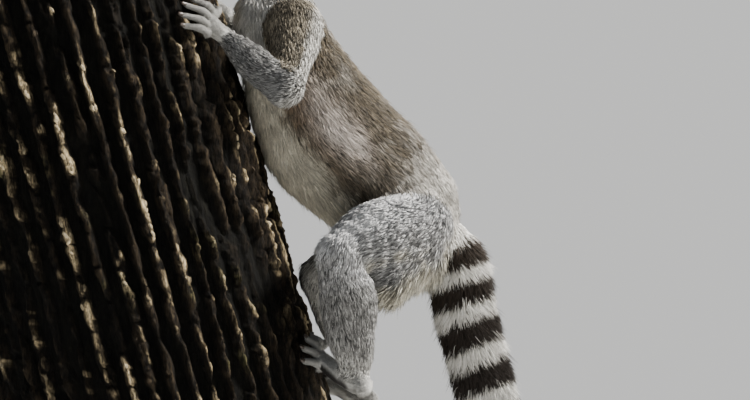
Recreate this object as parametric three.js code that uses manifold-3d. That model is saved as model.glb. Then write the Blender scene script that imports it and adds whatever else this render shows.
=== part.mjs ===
// A ring-tailed lemur (Lemur catta), life size, clinging to the side of a cut length of leaning tree trunk
// that stands on a plain display stand. Millimetres, +Z up, +X toward the animal's back, -Y its left side.
// The origin is the middle of the base's underside. Sizes of the animal run out to the tips of its coat.
import * as THREE from "three";
import { mergeVertices } from "three/addons/utils/BufferGeometryUtils.js";
import Module from "manifold-3d";

const wasm = await Module();
wasm.setup();

// Driving sizes
const gap = 0.4; // between neighbours that touch
const crumb = 0.15; // detail smaller than this is cleared from a cut piece
const cell = { body: 21, head: 7.4, arm: 10.5, leg: 13.5, paw: 8 }; // about the length of a facet
const base = { length: 520, width: 400, height: 24, corner: 40, bevel: 3 };
const rod = { radius: 13, apart: 150, middle: 38 };
const plate = { length: 250, width: 200, height: 8, corner: 16, bevel: 1.5 };
const trunk = {
  radius: 180,
  lean: THREE.MathUtils.degToRad(15.8),
  middle: new THREE.Vector3(-42.4, 0, 582.5),
  foot: 250, // height of the level cut that rests on the stand
  top: 290, // length along the axis from the middle to the upper cut
  ridges: 20,
  furrow: 7,
};
const head = { x: 146, z: 848, yaw: 20, pitch: 6 }; // degrees: turned to the left, nose up
const eye = { radius: 7.8, forward: 22.5, aside: 13.8, up: 5.5 };

// Colours of the coat, the bark and the stand
const coats = {
  back: "#8d857b",
  flank: "#a09487",
  limb: "#b9b6b0",
  pale: "#e4dfd6",
  skin: "#2c2827",
  iris: "#b8651b",
  ring: "#8a8580",
};

// ---- Solids ----

function solidFrom(geometry) {
  const plain = geometry.index ? geometry.toNonIndexed() : geometry.clone();
  plain.deleteAttribute("normal");
  plain.deleteAttribute("uv");
  const merged = mergeVertices(plain, 1e-3);
  const vertProperties = merged.attributes.position.array;
  const triVerts = new Uint32Array(merged.index.array);
  const solid = new wasm.Manifold(new wasm.Mesh({ numProp: 3, vertProperties, triVerts }));
  if (solid.volume() > 0) return solid;
  for (let i = 0; i < triVerts.length; i += 3) {
    [triVerts[i + 1], triVerts[i + 2]] = [triVerts[i + 2], triVerts[i + 1]];
  }
  return new wasm.Manifold(new wasm.Mesh({ numProp: 3, vertProperties, triVerts }));
}

function geometryFrom(solid) {
  const mesh = solid.getMesh();
  const geometry = new THREE.BufferGeometry();
  geometry.setAttribute("position", new THREE.BufferAttribute(new Float32Array(mesh.vertProperties), 3));
  geometry.setIndex(new THREE.BufferAttribute(new Uint32Array(mesh.triVerts), 1));
  geometry.computeVertexNormals();
  return geometry;
}

// The same solid with every corner moved out by a distance, or in by a negative one
function grown(solid, distance) {
  const geometry = geometryFrom(solid);
  const { position, normal } = geometry.attributes;
  for (let i = 0; i < position.count; i++) {
    position.setXYZ(
      i,
      position.getX(i) + normal.getX(i) * distance,
      position.getY(i) + normal.getY(i) * distance,
      position.getZ(i) + normal.getZ(i) * distance,
    );
  }
  return solidFrom(geometry);
}

// The part of a solid that lies ahead of a plane, which is at a point and faces along a direction
function ahead(solid, point, facing) {
  const normal = facing.clone().normalize();
  return solid.trimByPlane(normal.toArray(), normal.dot(point) + gap / 2);
}

function behind(solid, point, facing) {
  return ahead(solid, point, facing.clone().negate());
}

// The biggest body of a solid, with the crumbs and slivers that a cut leaves closed up: corners nearer to
// each other than a crumb become one
function mainBody(solid) {
  const biggest = solid.decompose().sort((a, b) => b.volume() - a.volume())[0].asOriginal().simplify(crumb);
  const { vertProperties, triVerts } = biggest.getMesh();
  const stands = Array.from({ length: vertProperties.length / 3 }, (_, i) => i);
  const standOf = (i) => (stands[i] === i ? i : standOf(stands[i]));
  const apart = (i, j) => Math.hypot(...[0, 1, 2].map((n) => vertProperties[3 * i + n] - vertProperties[3 * j + n]));
  for (let i = 0; i < triVerts.length; i += 3) {
    for (const [a, b] of [[0, 1], [1, 2], [2, 0]]) {
      const [from, to] = [triVerts[i + a], triVerts[i + b]];
      if (apart(from, to) < 2 * crumb) stands[standOf(from)] = standOf(to);
    }
  }
  const kept = [];
  for (let i = 0; i < triVerts.length; i += 3) {
    const corners = [0, 1, 2].map((n) => standOf(triVerts[i + n]));
    if (new Set(corners).size === 3) kept.push(...corners);
  }
  const geometry = new THREE.BufferGeometry();
  geometry.setAttribute("position", new THREE.BufferAttribute(new Float32Array(vertProperties), 3));
  geometry.setIndex(kept);
  return solidFrom(geometry);
}

// A closed tube: pointAt(ring, angle) places the corners, and each end closes on the middle of its ring
function tube(rings, sides, pointAt) {
  const corners = [];
  const faces = [];
  for (let ring = 0; ring < rings; ring++) {
    for (let side = 0; side < sides; side++) {
      corners.push(pointAt(ring, (side / sides) * 2 * Math.PI));
    }
  }
  const middleOf = (ring) =>
    corners
      .slice(ring * sides, (ring + 1) * sides)
      .reduce((sum, corner) => sum.add(corner), new THREE.Vector3())
      .divideScalar(sides);
  const first = corners.push(middleOf(0)) - 1;
  const last = corners.push(middleOf(rings - 1)) - 1;
  for (let side = 0; side < sides; side++) {
    const next = (side + 1) % sides;
    faces.push(first, next, side);
    for (let ring = 0; ring < rings - 1; ring++) {
      const low = ring * sides;
      const high = low + sides;
      faces.push(low + side, low + next, high + next, low + side, high + next, high + side);
    }
    faces.push(last, (rings - 1) * sides + side, (rings - 1) * sides + next);
  }
  const geometry = new THREE.BufferGeometry().setFromPoints(corners);
  geometry.setIndex(faces);
  return solidFrom(geometry);
}

// A level plate with round corners and softened edges, its underside at a height
function levelPlate(size, height) {
  const x = size.length / 2 - size.bevel;
  const y = size.width / 2 - size.bevel;
  const turns = [
    [x, y, 0],
    [-x, y, Math.PI / 2],
    [-x, -y, Math.PI],
    [x, -y, (3 * Math.PI) / 2],
  ];
  const outline = new THREE.Shape();
  for (const [cornerX, cornerY, start] of turns) {
    const middleX = cornerX - Math.sign(cornerX) * size.corner;
    const middleY = cornerY - Math.sign(cornerY) * size.corner;
    outline.absarc(middleX, middleY, size.corner, start, start + Math.PI / 2);
  }
  const geometry = new THREE.ExtrudeGeometry(outline, {
    depth: size.height - 2 * size.bevel,
    bevelThickness: size.bevel,
    bevelSize: size.bevel,
    bevelSegments: 1,
    curveSegments: 4,
  });
  return geometry.translate(0, 0, height + size.bevel);
}

// ---- Rounded flesh, as fields that are negative inside ----

function smoothUnion(a, b, blend) {
  const near = Math.max(blend - Math.abs(a - b), 0) / blend;
  return Math.min(a, b) - (near * near * blend) / 4;
}

// A limb runs through stations of [x, y, z, radius]; thickness below 1 flattens it from side to side
function limb(stations, thickness = 1) {
  const steps = 4;
  const path = new THREE.CatmullRomCurve3(
    stations.map(([x, y, z]) => new THREE.Vector3(x, y / thickness, z)),
  );
  const sizes = new THREE.CatmullRomCurve3(stations.map(([, , , radius], i) => new THREE.Vector3(i, radius, 0)));
  const count = (stations.length - 1) * steps;
  const balls = Array.from({ length: count + 1 }, (_, i) => ({
    at: path.getPoint(i / count),
    radius: sizes.getPoint(i / count).y,
  }));
  return (x, y, z) => {
    const flatY = y / thickness;
    let nearest = Infinity;
    for (let i = 0; i < count; i++) {
      const a = balls[i];
      const b = balls[i + 1];
      const [dx, dy, dz] = [b.at.x - a.at.x, b.at.y - a.at.y, b.at.z - a.at.z];
      const [px, py, pz] = [x - a.at.x, flatY - a.at.y, z - a.at.z];
      const along = (px * dx + py * dy + pz * dz) / (dx * dx + dy * dy + dz * dz);
      const t = Math.min(Math.max(along, 0), 1);
      const away = Math.hypot(px - t * dx, py - t * dy, pz - t * dz);
      nearest = Math.min(nearest, away - a.radius - t * (b.radius - a.radius));
    }
    return nearest;
  };
}

function ball([cx, cy, cz], [rx, ry, rz]) {
  const smallest = Math.min(rx, ry, rz);
  return (x, y, z) => {
    const [qx, qy, qz] = [(x - cx) / rx, (y - cy) / ry, (z - cz) / rz];
    const scaled = Math.hypot(qx, qy, qz);
    const slope = Math.hypot(qx / rx, qy / ry, qz / rz);
    return slope > 1e-6 ? (scaled * (scaled - 1)) / slope : -smallest;
  };
}

// Fields joined in turn, each melting into the ones before it over its own blend
function melt(first, ...others) {
  return (x, y, z) =>
    others.reduce((sum, [field, blend]) => smoothUnion(sum, field(x, y, z), blend), first(x, y, z));
}

// A field that also ends a little behind a plane, so that one end of a limb can be made by itself
function endedAt(field, point, facing, beyond) {
  const normal = facing.clone().normalize();
  const level = normal.dot(point) - beyond;
  return (x, y, z) => Math.max(field(x, y, z), level - normal.x * x - normal.y * y - normal.z * z);
}

// The surface of a field inside a box, in cells of about one size: one corner in each cell that the
// surface crosses, then moved onto the surface along the field's slope
function flesh(field, [low, high], size) {
  const count = low.map((start, axis) => Math.ceil((high[axis] - start) / size) + 1);
  const place = (axis, i) => low[axis] + i * size;
  const key = (i, j, k) => (k * count[1] + j) * count[0] + i;
  const values = new Float64Array(count[0] * count[1] * count[2]);
  for (let k = 0; k < count[2]; k++) {
    for (let j = 0; j < count[1]; j++) {
      for (let i = 0; i < count[0]; i++) {
        values[key(i, j, k)] = field(place(0, i), place(1, j), place(2, k));
      }
    }
  }
  const settle = (point) => {
    const step = 0.2;
    for (let pass = 0; pass < 3; pass++) {
      const { x, y, z } = point;
      const value = field(x, y, z);
      const slope = new THREE.Vector3(
        field(x + step, y, z) - value,
        field(x, y + step, z) - value,
        field(x, y, z + step) - value,
      ).divideScalar(step);
      point.addScaledVector(slope, -value / Math.max(slope.lengthSq(), 0.2));
    }
    return point;
  };
  const corners = [];
  const cornerOf = new Map();
  const cornerIn = (i, j, k) => {
    const cellKey = key(i, j, k);
    if (cornerOf.has(cellKey)) return cornerOf.get(cellKey);
    const crossings = [];
    for (let axis = 0; axis < 3; axis++) {
      for (let edge = 0; edge < 4; edge++) {
        const from = [i, j, k];
        from[(axis + 1) % 3] += edge & 1;
        from[(axis + 2) % 3] += edge >> 1;
        const to = [...from];
        to[axis] += 1;
        const [a, b] = [values[key(...from)], values[key(...to)]];
        if (a < 0 === b < 0) continue;
        const point = from.map((n, dimension) => place(dimension, n));
        point[axis] += (size * a) / (a - b);
        crossings.push(new THREE.Vector3(...point));
      }
    }
    const middle = crossings.reduce((sum, point) => sum.add(point), new THREE.Vector3());
    corners.push(settle(middle.divideScalar(crossings.length)));
    cornerOf.set(cellKey, corners.length - 1);
    return corners.length - 1;
  };
  const faces = [];
  for (let k = 1; k < count[2] - 1; k++) {
    for (let j = 1; j < count[1] - 1; j++) {
      for (let i = 1; i < count[0] - 1; i++) {
        for (let axis = 0; axis < 3; axis++) {
          const to = [i, j, k];
          to[axis] += 1;
          const [a, b] = [values[key(i, j, k)], values[key(...to)]];
          if (a < 0 === b < 0) continue;
          const around = [
            [0, 0],
            [1, 0],
            [1, 1],
            [0, 1],
          ].map(([u, v]) => {
            const at = [i, j, k];
            at[(axis + 1) % 3] -= u;
            at[(axis + 2) % 3] -= v;
            return cornerIn(...at);
          });
          if (a > 0) around.reverse();
          const [p, q, r, s] = around;
          const across = corners[p].distanceTo(corners[r]) < corners[q].distanceTo(corners[s]);
          faces.push(...(across ? [p, q, r, p, r, s] : [p, q, s, q, r, s]));
        }
      }
    }
  }
  const geometry = new THREE.BufferGeometry().setFromPoints(corners);
  geometry.setIndex(faces);
  return solidFrom(geometry);
}

// ---- Trunk: a place on the bark is a length along the axis, an angle toward -Y and a height off it ----

const trunkAxis = new THREE.Vector3(-Math.sin(trunk.lean), 0, Math.cos(trunk.lean));
const trunkSide = new THREE.Vector3(Math.cos(trunk.lean), 0, Math.sin(trunk.lean));

function outward(degrees) {
  const angle = THREE.MathUtils.degToRad(degrees);
  return trunkSide.clone().multiplyScalar(Math.cos(angle)).add(new THREE.Vector3(0, -Math.sin(angle), 0));
}

function onTrunk(along, degrees, off) {
  return trunk.middle
    .clone()
    .addScaledVector(trunkAxis, along)
    .addScaledVector(outward(degrees), trunk.radius + off);
}

function makeTrunk() {
  const rings = 7;
  const sides = trunk.ridges * 2;
  return tube(rings, sides, (ring, angle) => {
    const part = ring / (rings - 1);
    const wander = 0.25 * Math.sin(angle * 3 + ring * 1.1);
    const ridge = 0.5 + 0.5 * Math.cos((angle + wander * 0.1) * trunk.ridges);
    const off = -trunk.furrow * (1 - ridge) * (0.7 + 0.3 * Math.sin(angle * 5 + ring * 2.3));
    const degrees = THREE.MathUtils.radToDeg(angle);
    const levelDrop = (trunk.radius + off) * Math.cos(angle) * Math.sin(trunk.lean);
    const lowest = (trunk.foot - trunk.middle.z - levelDrop) / Math.cos(trunk.lean);
    return onTrunk(THREE.MathUtils.lerp(lowest, trunk.top, part), degrees, off);
  });
}

// What the trunk takes away from anything that presses on it
function trunkCutter() {
  const sides = 96;
  const clear = (trunk.radius + gap) / Math.cos(Math.PI / sides) - trunk.radius;
  return tube(2, sides, (ring, angle) =>
    onTrunk(ring ? trunk.top + 100 : -450, THREE.MathUtils.radToDeg(angle), clear),
  );
}

// ---- Trunk of the body ----

const spine = [
  [138, 0, 794, 43],
  [149, 0, 768, 51],
  [170, 0, 717, 64],
  [200, 0, 667, 74],
  [241, 0, 629, 71.5],
  [274, 0, 593, 66],
  [293, 0, 571, 46],
];
const nape = [
  [140, 0, 802, 38],
  [152, 0, 834, 26],
];
const bodyThickness = 0.85;

// Stations of the two arms and the two legs, from the body outward: [x, y, z, radius]
const arms = {
  left: {
    upper: [
      [158, -34, 790, 30],
      [157, -66, 755, 24],
      [150, -96, 724, 21],
    ],
    fore: [
      [150, -98, 722, 21],
      [114, -92, 749, 20],
      [85, -80, 776, 10.5],
    ],
  },
  right: {
    upper: [
      [158, 34, 790, 30],
      [148, 70, 760, 24],
      [137, 98, 736, 20],
    ],
    fore: [
      [137, 99, 735, 20],
      [108, 88, 768, 18],
      [81, 73, 804, 10.5],
    ],
  },
};
const legs = {
  left: {
    thigh: [
      [288, -38, 570, 44],
      [251, -74, 558, 43],
      [212, -102, 542, 27],
    ],
    ham: [
      [290, -44, 545, 33],
      [260, -72, 520, 29],
    ],
    shank: [
      [207, -106, 535, 24],
      [219, -106, 491, 32],
      [221, -107, 456, 28],
      [226, -108, 425, 21],
      [226, -108, 404, 14.5],
    ],
    sole: [
      [234, -114, 398, 12.5],
      [213, -97, 409, 13],
      [196, -77, 420, 11],
    ],
  },
  right: {
    thigh: [
      [288, 38, 570, 44],
      [230, 46, 552, 33],
      [187, 50, 515, 23],
    ],
    ham: [
      [288, 44, 545, 33],
      [246, 46, 532, 26],
    ],
    shank: [
      [186, 50, 512, 22],
      [206, 52, 466, 24],
      [221, 54, 430, 19],
      [228, 55, 400, 14],
    ],
    sole: [
      [240, 60, 376, 12.5],
      [222, 66, 384, 13],
      [206, 72, 390, 11],
    ],
  },
};

// Tips of the digits on the bark as [along, degrees], the thumb or great toe first
const grips = {
  leftHand: { knuckle: [169, 28.5], spread: [6, 2.6], tips: [[186, 20], [201, 34], [197, 39], [187, 42], [175, 42.5]] },
  rightHand: { knuckle: [196, -26], spread: [6, -2.6], tips: [[213, -17], [228, -31], [224, -36], [214, -39], [202, -40]] },
  leftFoot: { knuckle: [-212, 19], spread: [6.5, 1], tips: [[-196, 3], [-186, 16], [-186, 22], [-195, 27], [-209, 29]] },
  rightFoot: { knuckle: [-246, -25], spread: [6.5, -1], tips: [[-232, -9], [-221, -20], [-221, -27], [-230, -33], [-244, -36]] },
};
const ankleRise = 14; // from the middle of the ankle up to the cut between shank and foot
const digitSize = { hand: { root: 6.2, tip: 4.4, arch: 5 }, foot: { root: 6.6, tip: 4.8, arch: 5 } };

function joined([x, y, z]) {
  return new THREE.Vector3(x, y, z);
}

// The plane that halves the bend between two lengths, as its facing toward the far one
function bendFacing(before, at, after) {
  const back = joined(before).sub(joined(at)).normalize();
  const on = joined(after).sub(joined(at)).normalize();
  return on.sub(back);
}

function makeBody(cutter) {
  const field = melt(
    limb(spine, bodyThickness),
    [limb(nape, 0.92), 22],
    [limb([[158, -30, 786, 24], [158, -46, 768, 18]]), 26],
    [limb([[158, 30, 786, 24], [154, 46, 770, 18]]), 26],
    [limb([[286, -30, 566, 36], [262, -46, 560, 28]], 0.8), 24],
    [limb([[286, 30, 566, 36], [256, 38, 558, 26]], 0.8), 24],
  );
  return flesh(field, [[60, -96, 500], [365, 96, 890]], cell.body).subtract(cutter);
}

// ---- Head, in its own frame: x along the muzzle, y to the left, z up ----

function makeHead() {
  const field = melt(
    ball([-12, 0, 6], [33, 29, 26]),
    [ball([9, 0, 2], [24, 23, 20]), 12],
    [limb([[12, 0, -1, 18], [34, 0, -6.5, 12.4], [49, 0, -9, 9.6]], 0.95), 10],
    [limb([[-2, 0, -18, 15], [26, 0, -18, 9.5], [45, 0, -16.5, 6.5]]), 8],
    [ball([-8, 17, -14], [22, 17, 21]), 14],
    [ball([-8, -17, -14], [22, 17, 21]), 14],
  );
  return flesh(field, [[-56, -44, -46], [70, 44, 44]], cell.head);
}

function makeEye(side) {
  return new THREE.SphereGeometry(eye.radius, 12, 8)
    .rotateX(Math.PI / 2)
    .translate(eye.forward, side * eye.aside, eye.up);
}

function makeNose() {
  return new THREE.SphereGeometry(1, 8, 6).scale(4.2, 6.4, 4.6).translate(57.5, 0, -5.6);
}

// A leaf-shaped ear, cupped a little to the front
function makeEar(side) {
  const up = new THREE.Vector3(-0.12, side * 0.5, 0.86).normalize();
  const front = new THREE.Vector3(0.82, side * 0.55, -0.1).normalize();
  front.addScaledVector(up, -front.dot(up)).normalize();
  const across = new THREE.Vector3().crossVectors(up, front);
  const root = new THREE.Vector3(-14, side * 20, 20);
  const rings = [
    [0, 13, 8],
    [12, 16.5, 7],
    [24, 16, 6],
    [34, 12.5, 5],
    [42, 7.5, 4],
    [47, 2.5, 2],
  ];
  return tube(rings.length, 8, (ring, angle) => {
    const [height, half, thick] = rings[ring];
    const aside = Math.cos(angle) * half;
    const cup = (aside * aside) / 60;
    return root
      .clone()
      .addScaledVector(up, height)
      .addScaledVector(across, aside)
      .addScaledVector(front, Math.sin(angle) * thick + cup);
  });
}

// ---- Limbs ----

function boxAround(stations, margin) {
  const low = [0, 1, 2].map((axis) => Math.min(...stations.map((s) => s[axis] - s[3])) - margin);
  const high = [0, 1, 2].map((axis) => Math.max(...stations.map((s) => s[axis] + s[3])) + margin);
  return [low, high];
}

// One finger or toe: it leaves the knuckles, arches and comes down on the bark
function makeDigit(knuckle, tip, size) {
  const stations = [0, 0.45, 0.86, 1].map((part) => {
    const along = THREE.MathUtils.lerp(knuckle[0], tip[0], part);
    const degrees = THREE.MathUtils.lerp(knuckle[1], tip[1], part);
    const radius = THREE.MathUtils.lerp(size.root, size.tip, part) * (part < 1 ? 1 : 0.55);
    const arch = size.arch * Math.sin(Math.PI * Math.min(part * 1.15, 1));
    return { at: onTrunk(along, degrees, size.tip - 1 + arch + (1 - part) * 3), radius, degrees };
  });
  return tube(stations.length, 6, (ring, angle) => {
    const { at, radius, degrees } = stations[ring];
    const before = stations[Math.max(ring - 1, 0)].at;
    const after = stations[Math.min(ring + 1, stations.length - 1)].at;
    const heading = after.clone().sub(before).normalize();
    const across = new THREE.Vector3().crossVectors(heading, outward(degrees)).normalize();
    const up = new THREE.Vector3().crossVectors(across, heading);
    return at
      .clone()
      .addScaledVector(across, Math.cos(angle) * radius)
      .addScaledVector(up, Math.sin(angle) * radius);
  });
}

function withDigits(palm, grip, size) {
  return grip.tips.reduce((sum, tip, i) => {
    const fan = i === 0 ? -1.4 : i - 2.5;
    const knuckle = [grip.knuckle[0] - fan * grip.spread[0], grip.knuckle[1] + fan * grip.spread[1]];
    return sum.add(makeDigit(knuckle, tip, size));
  }, palm);
}

function makeArm(side, body, cutter) {
  const { upper, fore } = arms[side];
  const grip = grips[side + "Hand"];
  const wrist = fore.at(-1);
  const palmAt = onTrunk(grip.knuckle[0] - 3, grip.knuckle[1], 7);
  const palm = [wrist, [palmAt.x, palmAt.y, palmAt.z, 11.5]];
  const field = melt(limb(upper), [limb(fore), 12], [limb(palm), 5]);
  const whole = flesh(field, boxAround([...upper, ...fore, ...palm], 14), cell.arm);
  const clear = whole.subtract(grown(body, gap)).subtract(cutter);
  const elbow = joined(fore[0]);
  const elbowFacing = bendFacing(upper[0], fore[0], wrist);
  const wristAt = joined(wrist);
  const wristFacing = palmAt.clone().sub(joined(fore[1]));
  const handField = endedAt(field, wristAt, wristFacing, cell.paw);
  const handBlock = flesh(handField, boxAround([fore[1], ...palm], 12), cell.paw);
  const hand = withDigits(ahead(handBlock, wristAt, wristFacing), grip, digitSize.hand);
  return {
    upper: mainBody(behind(clear, elbow, elbowFacing)),
    fore: mainBody(behind(ahead(clear, elbow, elbowFacing), wristAt, wristFacing)),
    hand: mainBody(hand.subtract(cutter)),
  };
}

function makeLeg(side, body, cutter) {
  const { thigh, ham, shank, sole } = legs[side];
  const grip = grips[side + "Foot"];
  const ballAt = onTrunk(grip.knuckle[0], grip.knuckle[1], 8);
  const foot = [...sole, [ballAt.x, ballAt.y, ballAt.z, 10]];
  const field = melt(limb(thigh, 0.8), [limb(ham, 0.8), 14], [limb(shank, 0.82), 12], [limb(foot), 9]);
  const whole = flesh(field, boxAround([...thigh, ...ham, ...shank, ...foot], 16), cell.leg);
  const clear = whole.subtract(grown(body, gap)).subtract(cutter);
  const knee = joined(shank[0]);
  const kneeFacing = bendFacing(thigh[0], shank[0], shank[2]);
  const upShank = joined(shank.at(-2)).sub(joined(shank.at(-1))).normalize();
  const ankle = joined(shank.at(-1)).addScaledVector(upShank, ankleRise);
  const ankleFacing = ballAt.clone().sub(joined(shank.at(-1))).normalize().multiplyScalar(0.5).sub(upShank);
  const footField = endedAt(field, ankle, ankleFacing, cell.paw);
  const footBlock = flesh(footField, boxAround([shank.at(-2), ...foot], 12), cell.paw);
  const footOnly = withDigits(ahead(footBlock, ankle, ankleFacing), grip, digitSize.foot);
  return {
    thigh: mainBody(behind(clear, knee, kneeFacing)),
    shank: mainBody(behind(ahead(clear, knee, kneeFacing), ankle, ankleFacing)),
    foot: mainBody(footOnly.subtract(cutter)),
  };
}

// ---- Tail: hangs from the rump and turns up at the tip, in lengths ----

const tailRoute = new THREE.CatmullRomCurve3(
  [
    [304, 0, 584],
    [328, 0, 553],
    [339, -1, 523],
    [346, -2, 480],
    [361, -3, 421],
    [374, -3, 366],
    [384, -2, 300],
    [390, 0, 236],
    [394, 3, 176],
    [404, 5, 132],
    [425, 5, 108],
    [450, 3, 108],
    [468, 0, 126],
    [473, -1, 144],
  ].map((point) => new THREE.Vector3(...point)),
);
const tailSize = { root: 19, full: 33, fullBy: 0.14, tip: 24, lengths: 5 };

function tailRadius(part) {
  const swelling = THREE.MathUtils.smoothstep(part, 0, tailSize.fullBy);
  const taper = THREE.MathUtils.lerp(tailSize.full, tailSize.tip, Math.max(part - 0.3, 0) / 0.7);
  const tipRound = Math.sqrt(Math.max(1 - Math.max((part - 0.955) / 0.047, 0) ** 2, 0));
  return THREE.MathUtils.lerp(tailSize.root, taper, swelling) * tipRound;
}

function makeTailLength(index) {
  const routeLength = tailRoute.getLength();
  const start = index / tailSize.lengths + (index ? gap / 2 / routeLength : 0);
  const isLast = index === tailSize.lengths - 1;
  const end = (index + 1) / tailSize.lengths - (isLast ? 0 : gap / 2 / routeLength);
  const rings = 7;
  return tube(rings, 12, (ring, angle) => {
    const even = ring / (rings - 1);
    const part = THREE.MathUtils.lerp(start, end, isLast ? Math.sin((even * Math.PI) / 2) : even);
    const radius = Math.max(tailRadius(part), 3);
    const heading = tailRoute.getTangentAt(part);
    const across = new THREE.Vector3(0, 1, 0).cross(heading).normalize();
    const sideways = new THREE.Vector3().crossVectors(heading, across);
    return tailRoute
      .getPointAt(part)
      .addScaledVector(across, Math.cos(angle) * radius)
      .addScaledVector(sideways, Math.sin(angle) * radius);
  });
}

// ---- The model ----

const model = new THREE.Group();
model.name = "ring_tailed_lemur_on_trunk";

function addNode(parent, name, shape, color, roughness = 0.9, metalness = 0) {
  const geometry = shape.isBufferGeometry ? shape : geometryFrom(shape);
  const mesh = new THREE.Mesh(geometry, new THREE.MeshStandardMaterial({ color, roughness, metalness }));
  mesh.name = name;
  parent.add(mesh);
  return mesh;
}

function addStand() {
  const plateBottom = trunk.foot - gap - plate.height;
  const rodLow = base.height + gap;
  const rodHigh = plateBottom - gap;
  addNode(model, "stand_base", levelPlate(base, 0), "#2b2b2d", 0.5, 0.1);
  const top = addNode(model, "stand_plate", levelPlate(plate, plateBottom), "#4a4b4e", 0.4, 0.9);
  top.position.x = rod.middle;
  for (const [index, side] of [-1, 1].entries()) {
    const shaft = new THREE.CylinderGeometry(rod.radius, rod.radius, rodHigh - rodLow, 16).rotateX(Math.PI / 2);
    const mesh = addNode(model, "stand_rod_" + (index + 1), shaft, "#8c8e92", 0.3, 1);
    mesh.position.set(rod.middle + (side * rod.apart) / 2, 0, (rodLow + rodHigh) / 2);
  }
}

function addHead() {
  const group = new THREE.Group();
  group.position.set(head.x, 0, head.z);
  const turned = Math.PI + THREE.MathUtils.degToRad(head.yaw);
  group.rotation.set(0, -THREE.MathUtils.degToRad(head.pitch), turned, "ZYX");
  group.updateMatrix();
  const nose = makeNose();
  const eyes = { left: makeEye(1), right: makeEye(-1) };
  const uncut = makeHead();
  const skull = [nose, eyes.left, eyes.right].reduce(
    (sum, piece) => sum.subtract(grown(solidFrom(piece), gap)),
    uncut,
  );
  addNode(group, "head", mainBody(skull), coats.pale);
  addNode(group, "nose", nose, coats.skin, 0.5);
  for (const [side, sign] of [["left", 1], ["right", -1]]) {
    addNode(group, "eye_" + side, eyes[side], coats.iris, 0.1);
    addNode(group, "ear_" + side, mainBody(makeEar(sign).subtract(grown(uncut, gap))), coats.pale);
  }
  model.add(group);
  return grown(solidFrom(geometryFrom(uncut).applyMatrix4(group.matrix)), gap);
}

function addLemur() {
  const cutter = trunkCutter();
  const headSpace = addHead();
  const body = makeBody(cutter).subtract(headSpace);
  const cuts = [
    { at: [141, 0, 803], facing: [0.33, 0, -0.94] },
    { at: [182, 0, 694], facing: [0.5, 0, -0.87] },
    { at: [254, 0, 614], facing: [0.68, 0, -0.73] },
  ].map(({ at, facing }) => [joined(at), joined(facing)]);
  addNode(model, "neck", mainBody(behind(body, ...cuts[0])), coats.pale);
  addNode(model, "chest", mainBody(behind(ahead(body, ...cuts[0]), ...cuts[1])), coats.back);
  addNode(model, "loin", mainBody(behind(ahead(body, ...cuts[1]), ...cuts[2])), coats.flank);
  addNode(model, "hips", mainBody(ahead(body, ...cuts[2])), coats.limb);
  let tailSpace = grown(body, gap);
  for (const side of ["left", "right"]) {
    const arm = makeArm(side, body, cutter);
    addNode(model, "upper_arm_" + side, arm.upper, coats.limb);
    addNode(model, "forearm_" + side, arm.fore, coats.limb);
    addNode(model, "hand_" + side, arm.hand, coats.pale);
    const leg = makeLeg(side, body, cutter);
    addNode(model, "thigh_" + side, leg.thigh, coats.limb);
    tailSpace = tailSpace.add(grown(leg.thigh, gap));
    addNode(model, "shank_" + side, leg.shank, coats.limb);
    addNode(model, "foot_" + side, leg.foot, coats.pale);
  }
  for (let index = 0; index < tailSize.lengths; index++) {
    const length = makeTailLength(index);
    const clear = index ? length : mainBody(length.subtract(tailSpace));
    addNode(model, "tail_" + (index + 1), clear, coats.ring);
  }
}

addNode(model, "perch_trunk", makeTrunk(), "#5b4f42", 0.95);
addStand();
addLemur();

export default model;
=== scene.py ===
import math

import bpy
import numpy as np
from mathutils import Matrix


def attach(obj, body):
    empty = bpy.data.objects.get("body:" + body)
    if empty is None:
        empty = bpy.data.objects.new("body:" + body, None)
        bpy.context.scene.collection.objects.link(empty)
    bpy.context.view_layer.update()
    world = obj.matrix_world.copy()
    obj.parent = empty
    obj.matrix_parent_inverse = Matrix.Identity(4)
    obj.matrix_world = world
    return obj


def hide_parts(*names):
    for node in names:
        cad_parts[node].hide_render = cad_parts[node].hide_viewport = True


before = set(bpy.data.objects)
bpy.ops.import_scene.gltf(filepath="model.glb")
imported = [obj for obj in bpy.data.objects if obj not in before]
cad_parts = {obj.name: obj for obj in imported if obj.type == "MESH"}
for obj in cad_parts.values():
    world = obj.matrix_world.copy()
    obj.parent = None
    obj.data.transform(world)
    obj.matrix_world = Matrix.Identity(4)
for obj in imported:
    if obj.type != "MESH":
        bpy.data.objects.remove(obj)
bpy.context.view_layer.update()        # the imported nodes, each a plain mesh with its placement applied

mm = 0.001
print("frame loaded")

# camera, lights and floor

cameraSettings = {"aim": (0.2475, 0.0, 0.599), "away": 6.0, "width": 0.825, "sensor": 36.0, "clip": 60.0}
lightSettings = {
    "key": {"at": (3.0, -0.6, 2.9), "size": 0.8, "power": 360.0, "tint": (1.0, 0.96, 0.9)},
    "fill": {"at": (-2.6, -3.4, 1.6), "size": 2.6, "power": 13.0, "tint": (0.88, 0.94, 1.0)},
    "rim": {"at": (1.9, 2.3, 2.2), "size": 1.2, "power": 90.0, "tint": (1.0, 0.98, 0.94)},
}
roomSettings = {
    "floorSize": 13.0, "paper": (0.80, 0.80, 0.78), "sky": (0.80, 0.85, 0.92), "glow": 0.18,
    "backdrop": (0.88, 0.88, 0.87), "backdropGlow": 0.85,
}


def placeCamera(settings):
    data = bpy.data.cameras.new("camera")
    data.sensor_width = settings["sensor"]
    data.lens = settings["sensor"] * settings["away"] / settings["width"]
    data.clip_end = settings["clip"]
    holder = bpy.data.objects.new("camera", data)
    x, y, z = settings["aim"]
    holder.location = (x, y - settings["away"], z)
    holder.rotation_euler = (math.radians(90), 0, 0)
    bpy.context.scene.collection.objects.link(holder)
    bpy.context.scene.camera = holder


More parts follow.
